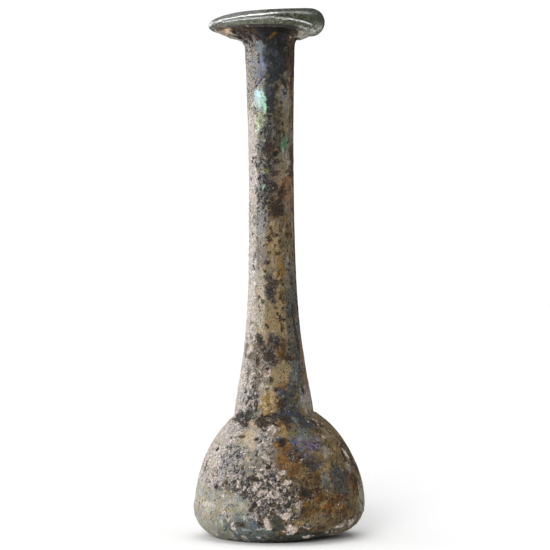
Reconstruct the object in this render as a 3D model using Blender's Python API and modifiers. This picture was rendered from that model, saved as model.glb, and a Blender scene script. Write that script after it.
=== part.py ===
"""Glass unguentarium: a bell-shaped bulb, a long neck and a thick folded rim, blown as one piece.

The wall is one closed profile turned about the vertical axis. The unevenness of the hand-made glass comes
after that: the lip is heavier on one side, the rim tips, the neck sits off-centre and leans, the bulb sways
and one sector of the heel is raised. Sizes are in metres, +Z is up, and the origin is at the middle of the
underside. +X is the side with the heavy lip.
"""

import bpy
import numpy as np

SEGMENTS = 52

# Bulb: a dome with the section of half an upright ellipse, standing on a rounded heel
BULB_RADIUS = 0.0280
DOME_CENTRE_Z = 0.0069
DOME_RISE = 0.0374
HEEL_ROUND = 0.0098
HEEL_CENTRE_R = 0.0181
SHOULDER_Z = 0.0397

# Underside: a flat ring to stand on, around a centre that the glassworker pushed in a little
RING_INNER = 0.0115
PUSHED_IN = 0.0014

# Neck: flares into the shoulder, is narrowest above its middle and spreads a little below the rim
NECK_WAIST = 0.00725
NECK_WAIST_Z = 0.1120
NECK_FLARE = 0.00560
NECK_FLARE_HEIGHT = 0.0240
NECK_FLARE_POWER = 1.35
NECK_TOP_SPREAD = 0.00085
NECK_TOP_Z = 0.1588

# Wall
WALL = 0.0016
FLOOR = 0.0026

# Rim: a disc turned out from the neck, its edge folded in to a thick round lip
RIM_RADIUS = 0.01895
RIM_Z = 0.1665
LIP_HALF = 0.00232
UNDER_RIM_Z = 0.1622
UNDER_RIM_ROUND = 0.0034
FUNNEL_TOP_R = 0.0124
FUNNEL_TOP_Z = 0.1656

# The lip's half thickness swings round the rim by these amounts, as harmonics of the angle from +X
LIP_SWING_X = 0.00120
LIP_SWING_Y = -0.00036
LIP_SECOND = 0.00034
LIP_THIRD = 0.00025
LIP_FROM_R = 0.0095
LIP_FULL_R = 0.0160

# The rim's shift on top of the neck, and its rise for each metre along X and Y
RIM_OFFSET = -0.0010
RIM_RISE_X = 0.035
RIM_RISE_Y = -0.040

# The neck's shift on the shoulder, its lean for each metre of height, and the slope of the seam between them
NECK_OFFSET = -0.00155
NECK_LEAN = -0.0113
SHOULDER_SLOPE = 0.070
OFFSET_FROM_Z = 0.0350
SLOPE_END_Z = 0.0600

# The bulb bulges a little more on its +X side, around this height
BULB_SWAY = 0.00040
SWAY_Z = 0.0180
SWAY_HEIGHT = 0.0080

# The raised part of the heel: its sector in degrees from +X, with a run-in at each end, and where it fades
HEEL_LIFT = 0.0013
LIFT_SECTOR = (-100.0, -35.0, 0.0, 70.0)
LIFT_FROM_R = 0.0090
LIFT_FULL_R = 0.0160
LIFT_FULL_Z = 0.0030
LIFT_END_Z = 0.0220


def smooth_step(value, low, high):
    """0 below low, 1 above high, and an even S-curve between them."""
    share = np.clip((value - low) / (high - low), 0.0, 1.0)
    return share * share * (3.0 - 2.0 * share)


def ellipse_arc(centre, half_width, half_height, start, end, count):
    """Points (r, z) along an arc of an ellipse, from the start to the end angle in degrees."""
    angle = np.radians(np.linspace(start, end, count))
    across = centre[0] + half_width * np.cos(angle)
    up = centre[1] + half_height * np.sin(angle)
    return np.column_stack([across, up])


def dome_radius(z, wall=0.0):
    """Radius of the bulb's dome at a height, with the wall's thickness taken off for the inner face."""
    share = (z - DOME_CENTRE_Z) / (DOME_RISE - wall)
    return (BULB_RADIUS - wall) * np.sqrt(1.0 - share * share)


def neck_radius(z):
    """Radius of the neck's outer face at a height."""
    above_shoulder = np.maximum(z - SHOULDER_Z, 0.0) / NECK_FLARE_HEIGHT
    above_waist = np.maximum(z - NECK_WAIST_Z, 0.0) / (NECK_TOP_Z - NECK_WAIST_Z)
    flare = NECK_FLARE * np.exp(-(above_shoulder**NECK_FLARE_POWER))
    return NECK_WAIST + flare + NECK_TOP_SPREAD * above_waist**2


def underside(radius, ring_z):
    """Points (r, z) inside the ring's inner edge, rising towards the axis where the centre is pushed in."""
    share = radius / RING_INNER
    return np.column_stack([radius, ring_z + PUSHED_IN * (1.0 - share * share)])


def inner_wall():
    """The inner face, from the middle of the floor up to the top of the funnel in the rim."""
    shoulder_z = SHOULDER_Z - WALL / 2.0
    dome_z = np.linspace(HEEL_ROUND + WALL, shoulder_z, 8)
    neck_z = shoulder_z + (NECK_TOP_Z - shoulder_z) * np.linspace(0.0, 1.0, 12)[1:] ** 1.2
    bore = neck_radius(NECK_TOP_Z) - WALL
    heel_centre = (HEEL_CENTRE_R, HEEL_ROUND)
    funnel_centre = (FUNNEL_TOP_R, NECK_TOP_Z)
    funnel_rise = FUNNEL_TOP_Z - NECK_TOP_Z
    parts = [
        underside(np.linspace(0.0, RING_INNER, 4), FLOOR),
        ellipse_arc(heel_centre, HEEL_ROUND - WALL, HEEL_ROUND - FLOOR, -90.0, -5.0, 6),
        np.column_stack([dome_radius(dome_z, WALL), dome_z]),
        np.column_stack([neck_radius(neck_z) - WALL, neck_z]),
        ellipse_arc(funnel_centre, FUNNEL_TOP_R - bore, funnel_rise, 165.0, 90.0, 5),
    ]
    return np.vstack(parts)


def outer_wall():
    """The outer face, from the lip's inner edge round the lip and down to the middle of the underside."""
    neck_z = SHOULDER_Z + (NECK_TOP_Z - SHOULDER_Z) * np.linspace(1.0, 0.0, 18)[1:] ** 1.2
    dome_z = SHOULDER_Z + (HEEL_ROUND - SHOULDER_Z) * np.linspace(0.0, 1.0, 12)[1:] ** 0.8
    lip_centre = (RIM_RADIUS - LIP_HALF, RIM_Z)
    under_rim_centre = (neck_radius(NECK_TOP_Z) + UNDER_RIM_ROUND, UNDER_RIM_Z - UNDER_RIM_ROUND)
    heel_centre = (HEEL_CENTRE_R, HEEL_ROUND)
    parts = [
        ellipse_arc(lip_centre, LIP_HALF, LIP_HALF, 135.0, -105.0, 13),
        ellipse_arc(under_rim_centre, UNDER_RIM_ROUND, UNDER_RIM_ROUND, 90.0, 180.0, 6),
        np.column_stack([neck_radius(neck_z), neck_z]),
        np.column_stack([dome_radius(dome_z), dome_z]),
        ellipse_arc(heel_centre, HEEL_ROUND, HEEL_ROUND, -10.0, -90.0, 9),
        underside(np.linspace(RING_INNER, 0.0, 4), 0.0),
    ]
    return np.vstack(parts)


def lip_half(angle):
    """Half the lip's thickness at an angle round the rim."""
    first = LIP_SWING_X * np.cos(angle) + LIP_SWING_Y * np.sin(angle)
    return LIP_HALF + first + LIP_SECOND * np.cos(2.0 * angle) + LIP_THIRD * np.cos(3.0 * angle)


def uneven_lip(points):
    """Thickens or thins the lip by its angle, about the rim's middle plane and its outer edge."""
    x, y, z = points.T
    radius = np.hypot(x, y)
    angle = np.arctan2(y, x)
    growth = (lip_half(angle) / LIP_HALF - 1.0) * smooth_step(z, NECK_TOP_Z, UNDER_RIM_Z)
    growth = growth * smooth_step(radius, LIP_FROM_R, LIP_FULL_R)
    new_radius = RIM_RADIUS - (RIM_RADIUS - radius) * (1.0 + growth)
    new_z = z + (z - RIM_Z) * growth
    return np.column_stack([new_radius * np.cos(angle), new_radius * np.sin(angle), new_z])


def tip_rim(points):
    """Moves the rim across on top of the neck and tips it."""
    x, y, z = points.T
    in_rim = smooth_step(z, NECK_TOP_Z, RIM_Z - LIP_HALF)
    rise = (RIM_RISE_X * x + RIM_RISE_Y * y) * in_rim
    return np.column_stack([x + RIM_OFFSET * in_rim, y, z + rise])


def lean_neck(points):
    """Sets the neck off-centre on the shoulder, which slopes to meet it, and leans it."""
    x, y, z = points.T
    on_neck = smooth_step(z, OFFSET_FROM_Z, SHOULDER_Z)
    near_shoulder = on_neck * (1.0 - smooth_step(z, SHOULDER_Z, SLOPE_END_Z))
    shift = NECK_OFFSET * on_neck + NECK_LEAN * np.maximum(z - SHOULDER_Z, 0.0)
    return np.column_stack([x + shift, y, z + SHOULDER_SLOPE * x * near_shoulder])


def sway_bulb(points):
    """Pushes the lower bulb a little towards +X, except where it is widest."""
    x, y, z = points.T
    shift = BULB_SWAY * np.exp(-(((z - SWAY_Z) / SWAY_HEIGHT) ** 2))
    room = np.maximum(BULB_RADIUS - np.abs(x), 0.0)
    return np.column_stack([x + np.minimum(shift, room), y, z])


def lift_heel(points):
    """Raises the heel and the ring over one sector, so that the rest of the ring carries the vessel."""
    x, y, z = points.T
    angle = np.degrees(np.arctan2(y, x))
    start, full, fade, end = LIFT_SECTOR
    in_sector = smooth_step(angle, start, full) * (1.0 - smooth_step(angle, fade, end))
    low_down = 1.0 - smooth_step(z, LIFT_FULL_Z, LIFT_END_Z)
    outside = smooth_step(np.hypot(x, y), LIFT_FROM_R, LIFT_FULL_R)
    return np.column_stack([x, y, z + HEEL_LIFT * in_sector * low_down * outside])


def glass_material():
    """Weathered pale green glass under a grey-brown crust."""
    material = bpy.data.materials.new("weathered_glass")
    material.use_nodes = True
    shader = material.node_tree.nodes["Principled BSDF"]
    shader.inputs["Base Color"].default_value = (0.24, 0.21, 0.16, 1.0)
    shader.inputs["Roughness"].default_value = 0.55
    shader.inputs["Metallic"].default_value = 0.0
    shader.inputs["IOR"].default_value = 1.5
    return material


def turned(name, profile, collection):
    """A closed body: the profile of (r, z) points, turned once about Z by a Screw modifier."""
    corners = [(r, 0.0, z) for r, z in profile]
    edges = [(i, i + 1) for i in range(len(corners) - 1)]
    mesh = bpy.data.meshes.new(name)
    mesh.from_pydata(corners, edges, [])
    body = bpy.data.objects.new(name, mesh)
    collection.objects.link(body)
    screw = body.modifiers.new("Turn", "SCREW")
    screw.steps = SEGMENTS
    screw.render_steps = SEGMENTS
    screw.use_merge_vertices = True
    screw.merge_threshold = 0.0001
    return body


def apply_modifiers(body):
    """Replaces the object's mesh by the one that its modifiers make."""
    graph = bpy.context.evaluated_depsgraph_get()
    made = bpy.data.meshes.new_from_object(body.evaluated_get(graph))
    outline = body.data
    body.modifiers.clear()
    body.data = made
    bpy.data.meshes.remove(outline)
    made.name = body.name


def reshape(body, *moves):
    """Passes the body's vertices through each move in turn."""
    coordinates = np.empty(len(body.data.vertices) * 3, np.float32)
    body.data.vertices.foreach_get("co", coordinates)
    points = coordinates.astype(float).reshape(-1, 3)
    for move in moves:
        points = move(points)
    body.data.vertices.foreach_set("co", points.astype(np.float32).ravel())
    body.data.update()


def main():
    for old in list(bpy.data.objects):
        bpy.data.objects.remove(old)
    collection = bpy.data.collections.new("unguentarium")
    bpy.context.scene.collection.children.link(collection)
    vessel = turned("unguentarium", np.vstack([inner_wall(), outer_wall()]), collection)
    apply_modifiers(vessel)
    reshape(vessel, uneven_lip, tip_rim, lean_neck, sway_bulb, lift_heel)
    vessel.data.materials.append(glass_material())
    vessel.data.shade_smooth()
    vessel.data.set_sharp_from_angle(angle=np.radians(40.0))


main()
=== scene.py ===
"""The glass unguentarium as it was dug up: crusted bulb and neck, films of colour, and a clear glass rim.

Three closed pieces, bulb, neck and rim, meet end to end and stand for the one solid of the frame. Each is the
vessel's wall, turned about the axis on a fine grid, moved as the frame's solid is moved, and then raised and
sunk by its crust, flakes and pits. Work is in millimetres and degrees until a mesh is made.
"turn" is the angle round the vessel from the front, growing to the right as seen from the front.
"""

import bpy
import numpy as np
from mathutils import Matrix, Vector


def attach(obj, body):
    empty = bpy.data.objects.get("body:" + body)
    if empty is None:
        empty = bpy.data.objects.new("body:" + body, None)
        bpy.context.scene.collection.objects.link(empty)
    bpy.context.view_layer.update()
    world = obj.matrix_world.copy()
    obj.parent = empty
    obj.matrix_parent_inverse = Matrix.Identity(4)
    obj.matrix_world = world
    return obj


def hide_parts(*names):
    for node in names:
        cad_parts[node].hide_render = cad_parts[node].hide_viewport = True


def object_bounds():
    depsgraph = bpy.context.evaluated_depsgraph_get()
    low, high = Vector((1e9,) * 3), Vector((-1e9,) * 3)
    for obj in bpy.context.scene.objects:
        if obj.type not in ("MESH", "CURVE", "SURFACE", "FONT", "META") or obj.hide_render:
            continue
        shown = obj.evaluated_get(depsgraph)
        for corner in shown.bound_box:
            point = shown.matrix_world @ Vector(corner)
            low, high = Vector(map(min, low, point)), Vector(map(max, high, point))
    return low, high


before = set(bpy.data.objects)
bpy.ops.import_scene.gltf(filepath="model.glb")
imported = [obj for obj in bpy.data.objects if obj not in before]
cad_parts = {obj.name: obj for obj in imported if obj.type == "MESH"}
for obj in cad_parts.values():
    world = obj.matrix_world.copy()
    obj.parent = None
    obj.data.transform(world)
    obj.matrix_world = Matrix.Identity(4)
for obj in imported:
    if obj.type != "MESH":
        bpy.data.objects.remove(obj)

CAD_LOW, CAD_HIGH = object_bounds()
MM = 0.001

# ---------------------------------------------------------------- sizes of the wall, as in the frame's solid
BULB_RADIUS = 28.0
DOME_CENTRE_Z = 6.9
DOME_RISE = 37.4
HEEL_ROUND = 9.8
HEEL_CENTRE_R = 18.1
SHOULDER_Z = 39.7
RING_INNER = 11.5
PUSHED_IN = 1.4
NECK_WAIST = 7.25
NECK_WAIST_Z = 112.0
NECK_FLARE = 5.60
NECK_FLARE_HEIGHT = 24.0
NECK_FLARE_POWER = 1.35
NECK_TOP_SPREAD = 0.85
NECK_TOP_Z = 158.8
WALL = 1.6
FLOOR = 2.6
RIM_RADIUS = 18.95
RIM_Z = 166.5
LIP_HALF = 2.32
UNDER_RIM_Z = 162.2
UNDER_RIM_ROUND = 3.4
LIP_BOTTOM_FROM = 2.55
FUNNEL_TOP_R = 12.4
FUNNEL_TOP_Z = 165.6
LIP_SWING_X = 1.20
LIP_SWING_Y = -0.36
LIP_SECOND = 0.34
LIP_THIRD = 0.25
LIP_FROM_R = 9.5
LIP_FULL_R = 16.0
RIM_OFFSET = -1.0
RIM_RISE_X = 0.035
RIM_RISE_Y = -0.040
NECK_OFFSET = -1.55
NECK_LEAN = -0.0113
SHOULDER_SLOPE = 0.070
OFFSET_FROM_Z = 35.0
SLOPE_END_Z = 60.0
BULB_SWAY = 0.40
SWAY_Z = 18.0
SWAY_HEIGHT = 8.0
HEEL_LIFT = 1.3
LIFT_SECTOR = (-100.0, -35.0, 0.0, 70.0)
LIFT_FROM_R = 9.0
LIFT_FULL_R = 16.0
LIFT_FULL_Z = 3.0
LIFT_END_Z = 22.0

# How the wall's line is drawn: points to a flat stretch, the dome, the neck, an arc and the lip, then mm
FLAT_POINTS = 80
DOME_POINTS = 300
NECK_POINTS = 600
ARC_POINTS = 120
LIP_POINTS = 300
PATH_STEP = 0.05
EDGE_SOFTENING = 0.30

# How the pieces are cut from the wall, how fine their grids are, and how far from the poles the rings begin
PIECE_GAP = 0.02
BULB_COLUMNS = 480
NECK_COLUMNS = 240
RIM_COLUMNS = 480
INNER_SHARE = 4
BASE_ROWS = 13
BULB_ROWS = 160
BULB_INNER_ROWS = 60
NECK_ROWS = 366
NECK_INNER_ROWS = 90
RIM_ROWS = 150
BASE_POLE_STEPS = 12
BASE_RING_STEPS = 8
FLOOR_POLE_STEPS = 30
POLE_FLAT = (1.0, 4.0)
BOX_MARGIN = 0.005
SHARP_ANGLE = 75.0

# ---------------------------------------------------------------- curves and noise

# Odd numbers that scramble a cell's indices and the seed, then how far the bits are folded and multiplied
CELL_FACTORS = (73856093, 19349663, 83492791)
SEED_FACTOR = 2654435761
FOLDS = ((15, 2246822519), (13, 3266489917))
NOISE_GAIN = 1.7
LAYER_WEIGHT = 0.55
LAYER_SEED = 17


def smooth_step(value, low, high):
    """0 below low, 1 above high, and an even S-curve between them."""
    share = np.clip((value - low) / (high - low), 0.0, 1.0)
    return share * share * (3.0 - 2.0 * share)


def bell(value, centre, half):
    """A bell curve: 1 at the centre, and e^-1 at half its width from it."""
    return np.exp(-(((value - centre) / half) ** 2))


def towards(values, goal, share):
    """Each point's values moved towards the goal by the point's share."""
    return values + (np.asarray(goal) - values) * share[:, None]


def half_circle(degrees):
    """The same angle between -180 and 180 degrees."""
    return (degrees + 180.0) % 360.0 - 180.0


def mixed_bits(cell, seed):
    """A scrambled number for a lattice cell: its indices and the seed times large odd numbers, folded."""
    parts = cell.astype(np.int64).astype(np.uint32) * np.array(CELL_FACTORS, np.uint32)
    bits = parts[..., 0] ^ parts[..., 1] ^ parts[..., 2] ^ np.uint32((seed * SEED_FACTOR) & 0xFFFFFFFF)
    for shift, factor in FOLDS:
        bits = (bits ^ (bits >> np.uint32(shift))) * np.uint32(factor)
    return bits ^ (bits >> np.uint32(16))


def three_shares(bits):
    """Three numbers from 0 to 1 out of ten bits each."""
    ten = np.uint32(1023)
    return np.stack([(bits >> np.uint32(shift)) & ten for shift in (0, 10, 20)], -1) / 1023.0


def noise(places, size, seed):
    """Slope noise of mean 0: a random slope at each corner of a lattice, blended by an S-curve."""
    scaled = places / size
    cell = np.floor(scaled)
    inside = scaled - cell
    fade = inside**3 * (inside * (inside * 6.0 - 15.0) + 10.0)
    total = np.zeros(len(places))
    for corner in np.ndindex(2, 2, 2):
        step = np.array(corner, float)
        slope = three_shares(mixed_bits(cell + step, seed)) * 2.0 - 1.0
        weight = np.prod(np.where(step > 0.5, fade, 1.0 - fade), axis=-1)
        total += weight * ((inside - step) * slope).sum(-1)
    return total * NOISE_GAIN


def layered(places, size, layers, seed):
    """Noise at this size and at halves of it, each layer weighing a set share of the one before."""
    weights = LAYER_WEIGHT ** np.arange(layers)
    total = sum(w * noise(places, size / 2.0**k, seed + LAYER_SEED * k) for k, w in enumerate(weights))
    return total / np.sqrt((weights**2).sum())


# ---------------------------------------------------------------- the wall's section


def arc(centre, half_width, half_height, start, end, count=ARC_POINTS):
    """Points (r, z) along an ellipse about the centre, from the start to the end angle."""
    angle = np.radians(np.linspace(start, end, count))
    return np.column_stack([centre[0] + half_width * np.cos(angle), centre[1] + half_height * np.sin(angle)])


def dome_radius(z, wall=0.0):
    """Radius of the dome at a height: half an upright ellipse, with the wall's thickness taken off inside."""
    share = (z - DOME_CENTRE_Z) / (DOME_RISE - wall)
    return (BULB_RADIUS - wall) * np.sqrt(1.0 - share * share)


def neck_radius(z):
    """Radius of the neck at a height: its waist, a flare dying away upwards, and a spread at the top."""
    above_shoulder = np.maximum(z - SHOULDER_Z, 0.0) / NECK_FLARE_HEIGHT
    above_waist = np.maximum(z - NECK_WAIST_Z, 0.0) / (NECK_TOP_Z - NECK_WAIST_Z)
    flare = NECK_FLARE * np.exp(-(above_shoulder**NECK_FLARE_POWER))
    return NECK_WAIST + flare + NECK_TOP_SPREAD * above_waist**2


def underside(radius, ring_z):
    """Points (r, z) under the bulb: a shallow bowl pushed up towards the axis."""
    return np.column_stack([radius, ring_z + PUSHED_IN * (1.0 - (radius / RING_INNER) ** 2)])


def outer_section():
    """The outer face from the middle of the underside up to the top of the lip."""
    dome_z = np.linspace(HEEL_ROUND, SHOULDER_Z, DOME_POINTS)
    neck_z = np.linspace(SHOULDER_Z, NECK_TOP_Z, NECK_POINTS)
    under_rim = (neck_radius(NECK_TOP_Z) + UNDER_RIM_ROUND, UNDER_RIM_Z - UNDER_RIM_ROUND)
    return np.vstack([
        underside(np.linspace(0.0, RING_INNER, FLAT_POINTS), 0.0),
        arc((HEEL_CENTRE_R, HEEL_ROUND), HEEL_ROUND, HEEL_ROUND, -90.0, -10.0),
        np.column_stack([dome_radius(dome_z), dome_z]),
        np.column_stack([neck_radius(neck_z), neck_z]),
        arc(under_rim, UNDER_RIM_ROUND, UNDER_RIM_ROUND, 180.0, 90.0),
        arc((RIM_RADIUS - LIP_HALF, RIM_Z), LIP_HALF, LIP_HALF, -105.0, 135.0, LIP_POINTS),
    ])


def inner_section():
    """The inner face from the top of the funnel in the rim down to the middle of the floor."""
    bore = neck_radius(NECK_TOP_Z) - WALL
    neck_z = np.linspace(NECK_TOP_Z, SHOULDER_Z - WALL / 2.0, NECK_POINTS)
    dome_z = np.linspace(SHOULDER_Z - WALL / 2.0, HEEL_ROUND + WALL, DOME_POINTS)
    return np.vstack([
        arc((FUNNEL_TOP_R, NECK_TOP_Z), FUNNEL_TOP_R - bore, FUNNEL_TOP_Z - NECK_TOP_Z, 90.0, 165.0),
        np.column_stack([neck_radius(neck_z) - WALL, neck_z]),
        np.column_stack([dome_radius(dome_z, WALL), dome_z]),
        arc((HEEL_CENTRE_R, HEEL_ROUND), HEEL_ROUND - WALL, HEEL_ROUND - FLOOR, -5.0, -90.0),
        underside(np.linspace(RING_INNER, 0.0, FLAT_POINTS), FLOOR),
    ])


def even_path(corners, step=PATH_STEP):
    """The same line with a point every step along it, its corners softened by a bell-shaped average."""
    length = np.concatenate([[0.0], np.cumsum(np.linalg.norm(np.diff(corners, axis=0), axis=1))])
    keep = np.concatenate([[True], np.diff(length) > 1e-9])
    along = np.arange(0.0, length[-1], step)
    even = np.column_stack([np.interp(along, length[keep], corners[keep, k]) for k in (0, 1)])
    reach = int(4 * EDGE_SOFTENING / step)
    weights = bell(np.arange(-reach, reach + 1) * step, 0.0, np.sqrt(2.0) * EDGE_SOFTENING)
    weights /= weights.sum()
    mirrored = even * np.array([-1.0, 1.0])
    padded = np.vstack([mirrored[reach:0:-1], even, mirrored[-2 : -reach - 2 : -1]])
    soft = np.column_stack([np.convolve(padded[:, k], weights, "valid") for k in (0, 1)])
    soft[[0, -1], 0] = 0.0
    return soft


class Section:
    """The whole wall as one line, with the outward direction at each point."""

    def __init__(self):
        self.line = even_path(np.vstack([outer_section(), inner_section()]))
        ahead = np.gradient(self.line, axis=0)
        ahead /= np.linalg.norm(ahead, axis=1, keepdims=True)
        self.out = np.column_stack([ahead[:, 1], -ahead[:, 0]])
        self.top = int(np.argmax(self.line[:, 1]))

    def at_height(self, z, inner):
        """Index where the line crosses a height, on its way up outside or on its way down inside."""
        heights = self.line[:, 1]
        if inner:
            return self.top + int(np.argmax(heights[self.top :] < z))
        return int(self.top - np.argmax(heights[self.top :: -1] < z))

    def rows(self, start, end, count):
        """Points and outward directions at an even spacing between two indices."""
        place = np.linspace(start, end, count)
        index = np.arange(len(self.line))
        line = np.column_stack([np.interp(place, index, self.line[:, k]) for k in (0, 1)])
        out = np.column_stack([np.interp(place, index, self.out[:, k]) for k in (0, 1)])
        return line, out / np.linalg.norm(out, axis=1, keepdims=True)


# ---------------------------------------------------------------- the moves that make it hand-made


def lip_half(angle):
    """Half the lip's thickness round the rim: its mean and three harmonics of the angle."""
    first = LIP_SWING_X * np.cos(angle) + LIP_SWING_Y * np.sin(angle)
    return LIP_HALF + first + LIP_SECOND * np.cos(2.0 * angle) + LIP_THIRD * np.cos(3.0 * angle)


def uneven_lip(points):
    """Grows the lip about the rim's middle plane and outer edge, by its share of the mean thickness."""
    x, y, z = points.T
    radius = np.hypot(x, y)
    angle = np.arctan2(y, x)
    growth = (lip_half(angle) / LIP_HALF - 1.0) * smooth_step(z, NECK_TOP_Z, UNDER_RIM_Z)
    growth = growth * smooth_step(radius, LIP_FROM_R, LIP_FULL_R)
    new_radius = RIM_RADIUS - (RIM_RADIUS - radius) * (1.0 + growth)
    new_z = z + (z - RIM_Z) * growth
    return np.column_stack([new_radius * np.cos(angle), new_radius * np.sin(angle), new_z])


def tip_rim(points):
    """Shifts the rim across and adds a rise in proportion to x and y."""
    x, y, z = points.T
    in_rim = smooth_step(z, NECK_TOP_Z, RIM_Z - LIP_HALF)
    return np.column_stack([x + RIM_OFFSET * in_rim, y, z + (RIM_RISE_X * x + RIM_RISE_Y * y) * in_rim])


def lean_neck(points):
    """Shifts the neck in proportion to its height, and slopes the shoulder in proportion to x."""
    x, y, z = points.T
    on_neck = smooth_step(z, OFFSET_FROM_Z, SHOULDER_Z)
    near_shoulder = on_neck * (1.0 - smooth_step(z, SHOULDER_Z, SLOPE_END_Z))
    shift = NECK_OFFSET * on_neck + NECK_LEAN * np.maximum(z - SHOULDER_Z, 0.0)
    return np.column_stack([x + shift, y, z + SHOULDER_SLOPE * x * near_shoulder])


def sway_bulb(points):
    """Shifts the bulb to one side by a bell curve of the height, but never past its widest radius."""
    x, y, z = points.T
    shift = BULB_SWAY * bell(z, SWAY_Z, SWAY_HEIGHT)
    return np.column_stack([x + np.minimum(shift, np.maximum(BULB_RADIUS - np.abs(x), 0.0)), y, z])


def lift_heel(points):
    """Raises the heel over one sector, fading inwards and upwards."""
    x, y, z = points.T
    angle = np.degrees(np.arctan2(y, x))
    start, full, fade, end = LIFT_SECTOR
    in_sector = smooth_step(angle, start, full) * (1.0 - smooth_step(angle, fade, end))
    low_down = 1.0 - smooth_step(z, LIFT_FULL_Z, LIFT_END_Z)
    outside = smooth_step(np.hypot(x, y), LIFT_FROM_R, LIFT_FULL_R)
    return np.column_stack([x, y, z + HEEL_LIFT * in_sector * low_down * outside])


# ---------------------------------------------------------------- finishes, as bare colours of the surface

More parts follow.
